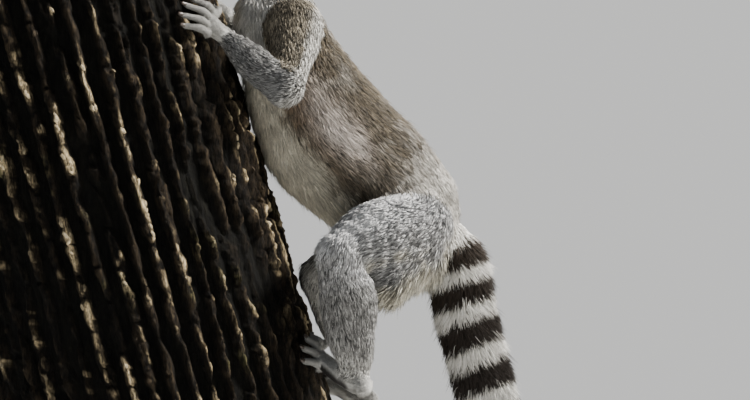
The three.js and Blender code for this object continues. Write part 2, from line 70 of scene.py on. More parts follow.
def placeLight(name, settings, aim):
    data = bpy.data.lights.new(name, "AREA")
    data.size = settings["size"]
    data.energy = settings["power"]
    data.color = settings["tint"]
    holder = bpy.data.objects.new(name, data)
    holder.location = settings["at"]
    bpy.context.scene.collection.objects.link(holder)
    offset = np.array(aim) - np.array(settings["at"])
    level = math.hypot(offset[0], offset[1])
    holder.rotation_euler = (math.atan2(level, -offset[2]), 0, math.atan2(offset[1], offset[0]) - math.pi / 2)


def linkObject(name, mesh):
    holder = bpy.data.objects.new(name, mesh)
    bpy.context.scene.collection.objects.link(holder)
    return holder


# node helpers for the materials


def setInputs(tree, node, values):
    # an input takes a link from the output of another node, or else a plain value
    for key, value in values.items():
        if hasattr(value, "is_output"):
            tree.links.new(value, node.inputs[key])
        else:
            node.inputs[key].default_value = value
    return node


def addNode(tree, kind, values=None, **settings):
    node = tree.nodes.new(kind)
    for key, value in settings.items():
        setattr(node, key, value)
    return setInputs(tree, node, values or {})


def newMaterial(name, values):
    material = bpy.data.materials.new(name)
    material.use_nodes = True
    tree = material.node_tree
    tree.nodes.clear()
    shader = addNode(tree, "ShaderNodeBsdfPrincipled", values)
    out = addNode(tree, "ShaderNodeOutputMaterial", {"Surface": shader.outputs[0]})
    out.is_active_output = True
    return material, tree, shader


def objectCoords(tree):
    return addNode(tree, "ShaderNodeTexCoord").outputs["Object"]


def noiseNode(tree, vector, scale, detail=3.0, rough=0.55):
    values = {"Vector": vector, "Scale": scale, "Detail": detail, "Roughness": rough}
    return addNode(tree, "ShaderNodeTexNoise", values).outputs["Fac"]


def cellNode(tree, vector, scale):
    return addNode(tree, "ShaderNodeTexVoronoi", {"Vector": vector, "Scale": scale}).outputs["Distance"]


def rampNode(tree, factor, stops):
    # a stop is its place with a colour, or with one number for a grey
    node = addNode(tree, "ShaderNodeValToRGB", {"Fac": factor})
    for mark, (place, tint) in zip(node.color_ramp.elements, stops):
        mark.position = place
        mark.color = (*np.broadcast_to(tint, 3), 1.0)
    return node.outputs[0]


def mathNode(tree, operation, first, second):
    return addNode(tree, "ShaderNodeMath", {0: first, 1: second}, operation=operation).outputs[0]


def rangeNode(tree, value, low, high):
    return addNode(tree, "ShaderNodeMapRange", {"Value": value, "To Min": low, "To Max": high}).outputs[0]


def stretchNode(tree, scale, turn=0.0):
    values = {"Vector": objectCoords(tree), "Rotation": (0, turn, 0), "Scale": scale}
    return addNode(tree, "ShaderNodeMapping", values).outputs[0]


def pointTint(tree):
    return addNode(tree, "ShaderNodeAttribute", attribute_name="coatTint").outputs["Color"]


def multiplyColours(tree, first, second):
    values = {0: 1.0, 6: first, 7: second}
    return addNode(tree, "ShaderNodeMix", values, data_type="RGBA", blend_type="MULTIPLY").outputs[2]


def bumpNode(tree, height, strength, distance, normal=None):
    values = {"Height": height, "Strength": strength, "Distance": distance}
    if normal is not None:
        values["Normal"] = normal
    return addNode(tree, "ShaderNodeBump", values).outputs["Normal"]


def makeTree(name, kind, inputs, outputs):
    tree = bpy.data.node_groups.new(name, kind)
    for label, socket, value in inputs:
        made = tree.interface.new_socket(label, in_out="INPUT", socket_type="NodeSocket" + socket)
        if value is not None:
            made.default_value = value
    for label, socket in outputs:
        tree.interface.new_socket(label, in_out="OUTPUT", socket_type="NodeSocket" + socket)
    return tree, addNode(tree, "NodeGroupInput"), addNode(tree, "NodeGroupOutput")


placeCamera(cameraSettings)
for lightName, lightValues in lightSettings.items():
    placeLight(lightName, lightValues, cameraSettings["aim"])


def makeRoom(settings):
    half = settings["floorSize"] / 2
    mesh = bpy.data.meshes.new("floor")
    corners = [(-half, -half, 0), (half, -half, 0), (half, half, 0), (-half, half, 0)]
    mesh.from_pydata(corners, [], [(0, 1, 2, 3)])
    floor = linkObject("floor", mesh)
    material, tree, shader = newMaterial("floorPaper", {"Roughness": 0.85})
    paper = settings["paper"]
    wearAndHighlight = tuple(value * 0.96 for value in paper)
    tint = rampNode(tree, noiseNode(tree, objectCoords(tree), 3.0), [(0.3, wearAndHighlight), (0.7, paper)])
    setInputs(tree, shader, {"Base Color": tint})
    mesh.materials.append(material)
    world = bpy.data.worlds.new("studio")
    world.use_nodes = True
    tree = world.node_tree
    tree.nodes.clear()
    sky, seen = (
        addNode(tree, "ShaderNodeBackground", {"Color": (*settings[tint], 1.0), "Strength": settings[glow]})
        for tint, glow in (("sky", "glow"), ("backdrop", "backdropGlow"))
    )
    ray = addNode(tree, "ShaderNodeLightPath")
    values = {0: ray.outputs["Is Camera Ray"], 1: sky.outputs[0], 2: seen.outputs[0]}
    both = addNode(tree, "ShaderNodeMixShader", values)
    addNode(tree, "ShaderNodeOutputWorld", {"Surface": both.outputs[0]})
    bpy.context.scene.world = world


makeRoom(roomSettings)
print("room lit")

# small tools for arrays of points, in millimetres


def unit(vectors):
    return vectors / np.maximum(np.linalg.norm(vectors, axis=-1, keepdims=True), 1e-9)


def ease(values, low, high):
    part = np.clip((values - low) / (high - low), 0.0, 1.0)
    return part * part * (3 - 2 * part)


def blendTo(first, second, weight):
    weight = np.asarray(weight)[..., None]
    return np.asarray(first) * (1 - weight) + np.asarray(second) * weight


def bell(values, width):
    return np.exp(-((values / width) ** 2))


def scatterValue(cell, seed):
    whole = cell.astype(np.int64).astype(np.uint32)
    mixed = whole[:, 0] * np.uint32(374761393) + whole[:, 1] * np.uint32(668265263)
    mixed = mixed + whole[:, 2] * np.uint32(3266489917) + np.uint32(seed * 97919 + 11)
    mixed = (mixed ^ (mixed >> np.uint32(13))) * np.uint32(1274126177)
    mixed = mixed ^ (mixed >> np.uint32(16))
    return (mixed & np.uint32(0xFFFFFF)).astype(float) / 0x7FFFFF - 1.0


def softNoise(points, size, seed):
    place = points / size
    cell = np.floor(place)
    part = place - cell
    part = part * part * (3 - 2 * part)
    total = np.zeros(len(points))
    for corner in range(8):
        step = np.array([corner & 1, corner >> 1 & 1, corner >> 2 & 1])
        weight = np.where(step, part, 1 - part).prod(axis=1)
        total += weight * scatterValue(cell + step, seed)
    return total


def layeredNoise(points, size, seed, layers=3):
    total = np.zeros(len(points))
    for layer in range(layers):
        total += softNoise(points, size / 2**layer, seed + layer * 17) / 2**layer
    return total / 1.5


def meshFromArrays(name, points, faces, colours=None, places=None, extra=None):
    mesh = bpy.data.meshes.new(name)
    mesh.vertices.add(len(points))
    mesh.vertices.foreach_set("co", np.ascontiguousarray(points * mm, dtype=np.float32).ravel())
    mesh.loops.add(faces.size)
    mesh.loops.foreach_set("vertex_index", np.ascontiguousarray(faces, dtype=np.int32).ravel())
    mesh.polygons.add(len(faces))
    mesh.polygons.foreach_set("loop_start", np.arange(0, faces.size, 3, dtype=np.int32))
    if colours is not None:
        layer = mesh.attributes.new("coatTint", "FLOAT_COLOR", "POINT")
        filled = np.ones((len(points), 4), dtype=np.float32)
        filled[:, :3] = colours
        layer.data.foreach_set("color", filled.ravel())
    for key, values in (extra or {}).items():
        kind = "FLOAT_VECTOR" if values.ndim == 2 else "FLOAT"
        layer = mesh.attributes.new(key, kind, "POINT")
        spot = "vector" if values.ndim == 2 else "value"
        layer.data.foreach_set(spot, np.ascontiguousarray(values, dtype=np.float32).ravel())
    if places is not None:
        layer = mesh.uv_layers.new(name="OFBake")
        layer.uv.foreach_set("vector", np.ascontiguousarray(places, dtype=np.float32).ravel())
    mesh.polygons.foreach_set("use_smooth", np.ones(len(faces), dtype=bool))
    mesh.update(calc_edges=True)
    return mesh


def gridFaces(rows, columns, first=0, loop=True):
    # triangles over a net of corners, row by row; a loop joins the ends of each row
    faces = []
    for row in range(rows - 1):
        for i in range(columns if loop else columns - 1):
            a, b = first + row * columns + i, first + row * columns + (i + 1) % columns
            faces += [(a, b, b + columns), (a, b + columns, a + columns)]
    return faces


def outwardFaces(points, faces):
    a, b, c = (points[faces[:, k]] - points.mean(axis=0) for k in range(3))
    return faces if (a * np.cross(b, c)).sum() > 0 else faces[:, ::-1]


def dressPiece(piece, slotName, *nodes):
    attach(piece, "root")
    if nodes:
        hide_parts(*nodes)


def showMesh(name, mesh, material, slotName, *nodes):
    mesh.materials.append(material)
    dressPiece(linkObject(name, mesh), slotName, *nodes)


# chains: runs of balls that the flesh follows, each station being x, y, z and radius


def smoothPath(points, steps):
    points = np.asarray(points, dtype=float)
    padded = np.vstack([2 * points[0] - points[1], points, 2 * points[-1] - points[-2]])
    made = []
    for place in np.linspace(0, len(points) - 1, (len(points) - 1) * steps + 1):
        first = min(int(place + 1e-9), len(points) - 2)
        p0, p1, p2, p3 = padded[first:first + 4]
        d0, d1, d2 = (max(np.linalg.norm(b - a), 1e-6) ** 0.5 for a, b in ((p0, p1), (p1, p2), (p2, p3)))
        leave = ((p1 - p0) / d0 - (p2 - p0) / (d0 + d1) + (p2 - p1) / d1) * d1
        arrive = ((p2 - p1) / d1 - (p3 - p1) / (d1 + d2) + (p3 - p2) / d2) * d1
        t = place - first
        made.append(
            p1 + leave * t + (3 * p2 - 3 * p1 - 2 * leave - arrive) * t**2
            + (2 * p1 - 2 * p2 + leave + arrive) * t**3
        )
    return np.array(made)


def makeChain(name, stations, blend, thickness=1.0, depth=0.0, steps=4):
    stations = np.asarray(stations, dtype=float)
    squash = np.array([1.0, 1.0 / thickness, 1.0])
    path = smoothPath(stations[:, :3] * squash, steps)
    sizes = smoothPath(np.column_stack([np.arange(len(stations)), stations[:, 3]]), steps)[:, 1] - depth
    sizes = np.maximum(sizes, 0.8)
    reach = 40.0
    lows = (path / squash - sizes[:, None]).min(axis=0) - reach
    highs = (path / squash + sizes[:, None]).max(axis=0) + reach
    return {
        "name": name, "path": path, "sizes": sizes, "squash": squash, "blend": blend,
        "lows": lows, "highs": highs, "far": reach,
    }


def measureChain(chain, points):
    path, sizes = chain["path"], chain["sizes"]
    flat = points * chain["squash"]
    nearest = np.full(len(points), np.inf)
    part = np.zeros(len(points))
    for i in range(len(path) - 1):
        step = path[i + 1] - path[i]
        offset = flat - path[i]
        t = np.clip(offset @ step / (step @ step), 0.0, 1.0)
        away = np.sqrt(((offset - t[:, None] * step) ** 2).sum(axis=1))
        away -= sizes[i] + t * (sizes[i + 1] - sizes[i])
        closer = away < nearest
        nearest[closer] = away[closer]
        part[closer] = (i + t[closer]) / (len(path) - 1)
    return nearest, part


def pointOnChain(chain, part):
    path = chain["path"] / chain["squash"]
    place = np.clip(part, 0, 1) * (len(path) - 1)
    first = np.minimum(place.astype(int), len(path) - 2)
    t = (place - first)[:, None]
    return path[first] * (1 - t) + path[first + 1] * t, unit(path[first + 1] - path[first])


def smoothUnion(first, second, blend):
    near = np.maximum(blend - np.abs(first - second), 0) / blend
    return np.minimum(first, second) - near * near * blend / 4


def ballField(points, centre, radii):
    centre, radii = np.array(centre), np.array(radii)
    scaled = (points - centre) / radii
    size = np.linalg.norm(scaled, axis=1)
    slope = np.linalg.norm(scaled / radii, axis=1)
    return np.where(slope > 1e-6, size * (size - 1) / np.maximum(slope, 1e-6), -radii.min())


# the trunk that the lemur holds

trunkSettings = {
    "radius": 180.0, "lean": math.radians(15.8), "middle": (-42.4, 0.0, 582.5), "foot": 250.0, "top": 290.0,
}
trunkMiddle = np.array(trunkSettings["middle"])
trunkAxis = np.array([-math.sin(trunkSettings["lean"]), 0, math.cos(trunkSettings["lean"])])
trunkSide = np.array([math.cos(trunkSettings["lean"]), 0, math.sin(trunkSettings["lean"])])


def trunkOutward(degrees):
    angle = np.radians(np.asarray(degrees, dtype=float))[..., None]
    return trunkSide * np.cos(angle) + np.array([0, -1.0, 0]) * np.sin(angle)


def onTrunk(along, degrees, off):
    along = np.asarray(along, dtype=float)[..., None]
    off = np.asarray(off, dtype=float)[..., None]
    return trunkMiddle + trunkAxis * along + trunkOutward(degrees) * (trunkSettings["radius"] + off)


# the lemur's shape, as the solids have it; left is the side toward -Y

coatDepth = {
    "body": 8.0, "nape": 5.0, "arm": 5.5, "fore": 4.0, "leg": 7.5, "shank": 5.0, "paw": 1.6, "digit": 1.0,
    "tail": 14.0, "tailRoot": 5.0, "head": 2.2,
}
spineStations = [
    (138, 0, 794, 43), (149, 0, 768, 51), (170, 0, 717, 64), (200, 0, 667, 74),
    (241, 0, 629, 71.5), (274, 0, 593, 66), (293, 0, 571, 46),
]
napeStations = [(140, 0, 802, 38), (152, 0, 834, 26)]
armStations = {
    "left": {
        "shoulder": [(158, -30, 786, 24), (158, -46, 768, 18)],
        "upper": [(158, -34, 790, 30), (157, -66, 755, 24), (150, -96, 724, 21)],
        "fore": [(150, -98, 722, 21), (114, -92, 749, 20), (85, -80, 776, 10.5)],
    },
    "right": {
        "shoulder": [(158, 30, 786, 24), (154, 46, 770, 18)],
        "upper": [(158, 34, 790, 30), (148, 70, 760, 24), (137, 98, 736, 20)],
        "fore": [(137, 99, 735, 20), (108, 88, 768, 18), (81, 73, 804, 10.5)],
    },
}
legStations = {
    "left": {
        "hip": [(286, -30, 566, 36), (262, -46, 560, 28)],
        "thigh": [(288, -38, 570, 44), (251, -74, 558, 43), (212, -102, 542, 27)],
        "ham": [(290, -44, 545, 33), (260, -72, 520, 29)],
        "shank": [
            (207, -106, 535, 24), (219, -106, 491, 32), (221, -107, 456, 28),
            (226, -108, 425, 21), (226, -108, 404, 14.5),
        ],
        "sole": [(234, -114, 398, 12.5), (213, -97, 409, 13), (196, -77, 420, 11)],
    },
    "right": {
        "hip": [(286, 30, 566, 36), (256, 38, 558, 26)],
        "thigh": [(288, 38, 570, 44), (230, 46, 552, 33), (187, 50, 515, 23)],
        "ham": [(288, 44, 545, 33), (246, 46, 532, 26)],
        "shank": [(186, 50, 512, 22), (206, 52, 466, 24), (221, 54, 430, 19), (228, 55, 400, 14)],
        "sole": [(240, 60, 376, 12.5), (222, 66, 384, 13), (206, 72, 390, 11)],
    },
}
gripPlaces = {  # along the trunk in mm and round it in degrees, the thumb or great toe first
    "leftHand": {
        "knuckle": (169, 28.5), "spread": (6, 2.6),
        "tips": [(186, 20), (201, 34), (197, 39), (187, 42), (175, 42.5)],
    },
    "rightHand": {
        "knuckle": (196, -26), "spread": (6, -2.6),
        "tips": [(213, -17), (228, -31), (224, -36), (214, -39), (202, -40)],
    },
    "leftFoot": {
        "knuckle": (-212, 19), "spread": (6.5, 1),
        "tips": [(-196, 3), (-186, 16), (-186, 22), (-195, 27), (-209, 29)],
    },
    "rightFoot": {
        "knuckle": (-246, -25), "spread": (6.5, -1),
        "tips": [(-232, -9), (-221, -20), (-221, -27), (-230, -33), (-244, -36)],
    },
}
digitSizes = {"Hand": {"root": 6.2, "tip": 4.4, "arch": 5.0}, "Foot": {"root": 6.6, "tip": 4.8, "arch": 5.0}}
tailStations = [
    (304, 0, 584), (328, 0, 553), (339, -1, 523), (346, -2, 480), (361, -3, 421), (374, -3, 366),
    (384, -2, 300), (390, 0, 236), (394, 3, 176), (404, 5, 132), (425, 5, 108), (450, 3, 108),
    (468, 0, 126), (473, -1, 144),
]
tailSizes = {"root": 19.0, "full": 33.0, "fullBy": 0.14, "tip": 24.0}


def makeDigits(side, kind):
    grip, size = gripPlaces[side + kind], digitSizes[kind]
    made = []
    for i, tip in enumerate(grip["tips"]):
        fan = -1.4 if i == 0 else i - 2.5
        knuckle = (grip["knuckle"][0] - fan * grip["spread"][0], grip["knuckle"][1] + fan * grip["spread"][1])
        stations = []
        for part in (0, 0.22, 0.45, 0.66, 0.86, 1):
            along = knuckle[0] + (tip[0] - knuckle[0]) * part
            degrees = knuckle[1] + (tip[1] - knuckle[1]) * part
            radius = size["root"] + (size["tip"] - size["root"]) * part
            joint = 0.5 * math.cos(part * 4 * math.pi)  # a little thicker at the joints
            radius = (radius - 0.5 + joint * (part < 0.9)) * (0.72 if part == 1 else 1)
            arch = size["arch"] * math.sin(math.pi * min(part * 1.15, 1))
            x, y, z = onTrunk(along, degrees, size["tip"] - 1 + arch + (1 - part) * 3)
            stations.append((x, y, z, radius))
        made.append(makeChain(f"digit{kind}", stations, 3.0, depth=coatDepth["digit"], steps=2))
    return made


def tailRadius(part):
    swelling = ease(part, 0, tailSizes["fullBy"])
    taper = tailSizes["full"] + (tailSizes["tip"] - tailSizes["full"]) * np.maximum(part - 0.3, 0) / 0.7
    rounded = np.sqrt(np.maximum(1 - (np.maximum(part - 0.955, 0) / 0.047) ** 2, 0))
    return (tailSizes["root"] + (taper - tailSizes["root"]) * swelling) * rounded


def makeTailChain():
    path = smoothPath(tailStations, 4)
    lengths = np.concatenate([[0], np.cumsum(np.linalg.norm(np.diff(path, axis=0), axis=1))])
    part = lengths / lengths[-1]
    grown = ease(part, 0.0, 0.12)
    depth = coatDepth["tail"] * grown + coatDepth["tailRoot"] * (1 - grown)
    radii = np.maximum(tailRadius(part) - depth, 1.5)
    keep = part < 0.985
    stations = np.column_stack([path, radii])[keep]
    chain = makeChain("tail", stations, 12.0, steps=1)
    chain["length"] = lengths[keep][-1]
    return chain


def makeAllChains():
    depth = coatDepth
    chains = [
        makeChain("spine", spineStations, 1.0, 0.85, depth["body"]),
        makeChain("nape", napeStations, 22.0, 0.92, depth["nape"]),
    ]
    for side in ("left", "right"):
        arm, leg = armStations[side], legStations[side]
        chains.append(makeChain("spine", arm["shoulder"], 26.0, 1.0, depth["arm"]))
        chains.append(makeChain("spine", leg["hip"], 24.0, 0.8, depth["leg"]))
    for side in ("left", "right"):
        arm, leg = armStations[side], legStations[side]
        chains.append(makeChain("upperArm", arm["upper"], 16.0, 1.0, depth["arm"]))
        chains.append(makeChain("foreArm", arm["fore"], 8.0, 1.0, depth["fore"]))
        grip = gripPlaces[side + "Hand"]
        palm = [arm["fore"][-1], (*onTrunk(grip["knuckle"][0] - 3, grip["knuckle"][1], 7), 11.5)]
        chains.append(makeChain("hand", palm, 5.0, 1.0, depth["paw"]))
        chains += makeDigits(side, "Hand")
        chains.append(makeChain("thigh", leg["thigh"], 18.0, 0.8, depth["leg"]))
        chains.append(makeChain("ham", leg["ham"], 16.0, 0.8, depth["leg"]))
        chains.append(makeChain("shank", leg["shank"], 10.0, 0.82, depth["shank"]))
        grip = gripPlaces[side + "Foot"]
        ball = (*onTrunk(grip["knuckle"][0], grip["knuckle"][1], 8), 10)
        chains.append(makeChain("foot", [*leg["sole"], ball], 8.0, 1.0, depth["paw"]))
        chains += makeDigits(side, "Foot")
    chains.append(makeTailChain())
    return chains


chains = makeAllChains()

# the head, in its own frame: x along the muzzle, y to its left, z up

headSettings = {"at": (146.0, 0.0, 848.0), "yaw": 20.0, "pitch": 6.0}
eyeSettings = {"radius": 7.8, "at": (22.5, 13.8, 5.5), "gaze": (0.83, 0.53, 0.10), "slit": 0.86}


def headTurn(settings):
    yaw = math.pi + math.radians(settings["yaw"])
    pitch = math.radians(settings["pitch"])
    about = np.array([[math.cos(yaw), -math.sin(yaw), 0], [math.sin(yaw), math.cos(yaw), 0], [0, 0, 1]])
    nod = np.array([[math.cos(pitch), 0, -math.sin(pitch)], [0, 1, 0], [math.sin(pitch), 0, math.cos(pitch)]])
    return about @ nod


headMatrix = headTurn(headSettings)
headAt = np.array(headSettings["at"])


def toHead(points):
    return (points - headAt) @ headMatrix


def fromHead(points):
    return points @ headMatrix.T + headAt


def eyeFrame(side):
    centre = np.array(eyeSettings["at"]) * np.array([1, side, 1])
    gaze = unit(np.array(eyeSettings["gaze"]) * np.array([1, side, 1]))
    up = unit(np.array([0, 0, 1.0]) - gaze * gaze[2])
    return centre, gaze, up, np.cross(up, gaze)


muzzleChain = makeChain("muzzle", [(12, 0, -1, 18), (34, 0, -6.5, 12.4), (49, 0, -9, 9.6)], 10.0, 0.95, 1.2)
jawChain = makeChain("jaw", [(-2, 0, -18, 15), (26, 0, -18, 9.5), (45, 0, -16.5, 6.5)], 8.0, 1.0, 1.4)


def headField(local):
    depth = coatDepth["head"]
    total = ballField(local, (-12, 0, 6), (33 - depth, 29 - depth, 26 - depth))
    total = smoothUnion(total, ballField(local, (9, 0, 2), (24 - depth, 23 - depth, 20 - depth)), 12)
    total = smoothUnion(total, measureChain(muzzleChain, local)[0], 10)
    total = smoothUnion(total, measureChain(jawChain, local)[0], 8)
    for side in (1, -1):
        cheek = ballField(local, (-8, 17 * side, -14), (22 - depth * 2, 17 - depth * 2, 21 - depth * 2))
        total = smoothUnion(total, cheek, 14)
        lip = ballField(local, (44, 5.2 * side, -11.5), (9, 4.6, 4.4))  # the upper lip's pads
        total = smoothUnion(total, lip, 4)
        brow = ballField(local, (19, 12.5 * side, 14.5), (8, 7.5, 3.4))
        total = smoothUnion(total, brow, 5)
    for side in (1, -1):
        centre, gaze, up, across = eyeFrame(side)
        offset = local - centre
        forward = offset @ gaze
        aside, rise = offset @ across, (offset @ up) / eyeSettings["slit"]
        socket = np.linalg.norm(offset, axis=1) - eyeSettings["radius"] - 0.5
        total = -smoothUnion(-total, socket, 2.0)
        ring = np.hypot(np.hypot(aside, rise) - 6.5, forward - 4.6) - 1.5
        total = smoothUnion(total, ring, 1.8)
    return total


def mouthGroove(local):
    # the line of the mouth, from under the nose back along the side of the muzzle
    part = np.clip((local[:, 0] - 26) / 30, 0, 1)
    level = -15.2 + 1.6 * np.sin(part * math.pi) + 1.2 * part
    return bell(local[:, 2] - level, 1.1) * ease(local[:, 0], 24, 32)


def wholeField(points):
    total = np.full(len(points), 60.0)
    for chain in chains:
        near = ((points > chain["lows"]) & (points < chain["highs"])).all(axis=1)
        if near.any():
            away = np.full(len(points), chain["far"] + 20.0)
            away[near] = measureChain(chain, points[near])[0]
            total = smoothUnion(total, away, chain["blend"])
    near = np.linalg.norm(points - headAt, axis=1) < 120
    away = np.full(len(points), 60.0)
    if near.any():
        away[near] = headField(toHead(points[near]))
    return smoothUnion(total, away, 9.0)


def slopeOf(field, points, reach=0.5):
    slope = np.empty_like(points)
    for axis in range(3):
        step = np.zeros(3)
        step[axis] = reach
        slope[:, axis] = (field(points + step) - field(points - step)) / (2 * reach)
    return slope


def settle(field, points, rounds, limit):
    points = points.copy()
    for _ in range(rounds):
        slope = slopeOf(field, points)
        size = np.maximum((slope**2).sum(axis=1), 0.2)
        move = -slope * (field(points) / size)[:, None]
        far = np.maximum(np.linalg.norm(move, axis=1) / limit, 1.0)
        points += move / far[:, None]
    return points


def netSurface(field, low, high, size):
    # one corner in every cell that the surface crosses, with the values worked out only near it
    blocks = np.ceil((np.array(high) - np.array(low)) / (size * 4)).astype(int)
    counts = blocks * 4
    middles = np.stack(np.meshgrid(*(np.arange(n) for n in blocks), indexing="ij"), axis=-1).reshape(-1, 3)
    rough = field(np.array(low) + (middles * 4 + 1.5) * size).reshape(blocks)
    values = np.repeat(np.repeat(np.repeat(rough, 4, 0), 4, 1), 4, 2)
    cells = np.argwhere(np.abs(values) < size * 4.6)
    spots = np.array(low) + cells * size
    values[tuple(cells.T)] = field(spots)
    inside = values < 0
    ids, spotsAt, quads = [], [], []
    strides = np.array([counts[1] * counts[2], counts[2], 1])
    for axis in range(3):
        near = [slice(None)] * 3
        far = [slice(None)] * 3
        near[axis], far[axis] = slice(0, -1), slice(1, None)
        start = np.argwhere(inside[tuple(near)] != inside[tuple(far)])
        end = start.copy()
        end[:, axis] += 1
        before, after = values[tuple(start.T)], values[tuple(end.T)]
        where = start.astype(float)
        where[:, axis] += before / (before - after)
        second, third = (axis + 1) % 3, (axis + 2) % 3
        around = []
        for back2, back3 in ((1, 1), (0, 1), (0, 0), (1, 0)):
            cell = start.copy()
            cell[:, second] -= back2
            cell[:, third] -= back3
            around.append(cell @ strides)
        around = np.stack(around, axis=1)
        flip = before > 0
        around[flip] = around[flip][:, ::-1]
        quads.append(around)
        ids.append(around.ravel())
        spotsAt.append(np.repeat(where, 4, axis=0))
    ids, spotsAt, quads = np.concatenate(ids), np.concatenate(spotsAt), np.concatenate(quads)
    names, index = np.unique(ids, return_inverse=True)
    total = np.bincount(index)
    points = np.stack([np.bincount(index, spotsAt[:, axis]) / total for axis in range(3)], axis=1)
    corners = np.searchsorted(names, quads)
    points = np.array(low) + points * size
    first = np.linalg.norm(points[corners[:, 0]] - points[corners[:, 2]], axis=1)
    second = np.linalg.norm(points[corners[:, 1]] - points[corners[:, 3]], axis=1)
    long = first > second
    corners[long] = corners[long][:, [1, 2, 3, 0]]
    faces = np.concatenate([corners[:, [0, 1, 2]], corners[:, [0, 2, 3]]])
    return points, faces


def splitFaces(points, faces, chosen):
    # halves every edge between two chosen corners, and joins up the faces beside them
    edges = np.sort(np.concatenate([faces[:, [0, 1]], faces[:, [1, 2]], faces[:, [2, 0]]]), axis=1)
    keys = edges[:, 0].astype(np.int64) * len(points) + edges[:, 1]
    names, first, index = np.unique(keys, return_index=True, return_inverse=True)
    pair = edges[first]
    cut = chosen[pair[:, 0]] & chosen[pair[:, 1]]
    number = np.full(len(names), -1)
    number[cut] = len(points) + np.arange(cut.sum())
    middles = (points[pair[cut][:, 0]] + points[pair[cut][:, 1]]) / 2
    halves = number[index].reshape(3, -1).T
    count = (halves >= 0).sum(axis=1)
    (a, b, c), (p, q, r) = faces[count == 3].T, halves[count == 3].T
    made = [faces[count == 0].T, (a, p, r), (b, q, p), (c, r, q), (p, q, r)]
    for turn in range(3):
        order = [turn, (turn + 1) % 3, (turn + 2) % 3]
        one = (count == 1) & (halves[:, turn] >= 0)
        (a, b, c), p = faces[one][:, order].T, halves[one][:, turn]
        made += [(a, p, c), (p, b, c)]
        two = (count == 2) & (halves[:, turn] < 0)
        (a, b, c), (_, q, r) = faces[two][:, order].T, halves[two][:, order].T
        made += [(a, b, q), (a, q, r), (r, q, c)]
    return np.vstack([points, middles]), np.concatenate([np.stack(face, axis=1) for face in made])


# one skin over the whole lemur

skinSettings = {
    "low": (28, -150, 62), "high": (516, 150, 930), "cell": 3.2, "rounds": 2,
    "middle": (8.0, 0, -2.0), "head": 66, "face": 58,
}
chainNames = [chain["name"] for chain in chains] + ["head", "ear"]
headIndex, earIndex = len(chains), len(chains) + 1
regionNames = [
    "spine", "nape", "upperArm", "foreArm", "hand", "digitHand", "thigh", "ham", "shank", "foot", "digitFoot",
    "tail", "head", "ear",
]
regionOfChain = np.array([regionNames.index(name) for name in chainNames])
armRegions = ("upperArm", "foreArm")
legRegions = ("thigh", "ham", "shank")
pawRegions = ("hand", "digitHand", "foot", "digitFoot")
lieOverrides = {"nape": np.array([0.15, 0.0, -1.0]), "spine": unit(np.array([0.58, 0.0, -0.81]))}


def inRegion(region, *names):
    return np.isin(region, [regionNames.index(name) for name in names])


def describe(points):
    # the nearest chain to each point, and the lie of the coat there
    best = np.full(len(points), np.inf)
    index = np.zeros(len(points), dtype=int)
    found = []
    for number, chain in enumerate(chains):
        near = np.flatnonzero(((points > chain["lows"]) & (points < chain["highs"])).all(axis=1))
        away, along = measureChain(chain, points[near])
        found.append((number, near, away, along))
        closer = away < best[near]
        best[near[closer]] = away[closer]
        index[near[closer]] = number
    near = np.flatnonzero(np.linalg.norm(points - headAt, axis=1) < 90)
    local = toHead(points[near])
    away = headField(local)
    closer = away < best[near]
    best[near[closer]] = away[closer]
    index[near[closer]] = headIndex
    lie = np.zeros((len(points), 3))
    fromNose = unit(local - np.array([62.0, 0, -7.0])) + np.array([-0.25, 0, -0.12])
    weight = np.exp(-np.minimum((away - best[near]) / 9.0, 30))
    lie[near] += (fromNose @ headMatrix.T) * weight[:, None]
    for number, near, away, along in found:
        chain = chains[number]
        weight = np.exp(-np.minimum((away - best[near]) / 9.0, 30))
        if number and chain["name"] in lieOverrides:
            heading = lieOverrides[chain["name"]][None, :]
        else:
            heading = pointOnChain(chain, along)[1]
        lie[near] += heading * weight[:, None]
    return index, unit(lie)


def cornerNormals(points, faces):
    a, b, c = points[faces[:, 0]], points[faces[:, 1]], points[faces[:, 2]]
    across = np.cross(b - a, c - a)
    total = np.zeros_like(points)
    for corner in range(3):
        for axis in range(3):
            total[:, axis] += np.bincount(faces[:, corner], across[:, axis], len(points))
    return unit(total)


earSettings = {
    "rings": [  # height, half width and depth of the bowl
        (0, 12, 8), (8, 15, 9), (18, 16.2, 8.5), (28, 14.6, 7), (37, 10.5, 5), (43, 6, 3.2), (46.5, 2.0, 1.2),
    ],
    "wall": 1.5, "rows": 22, "sides": 36,
}


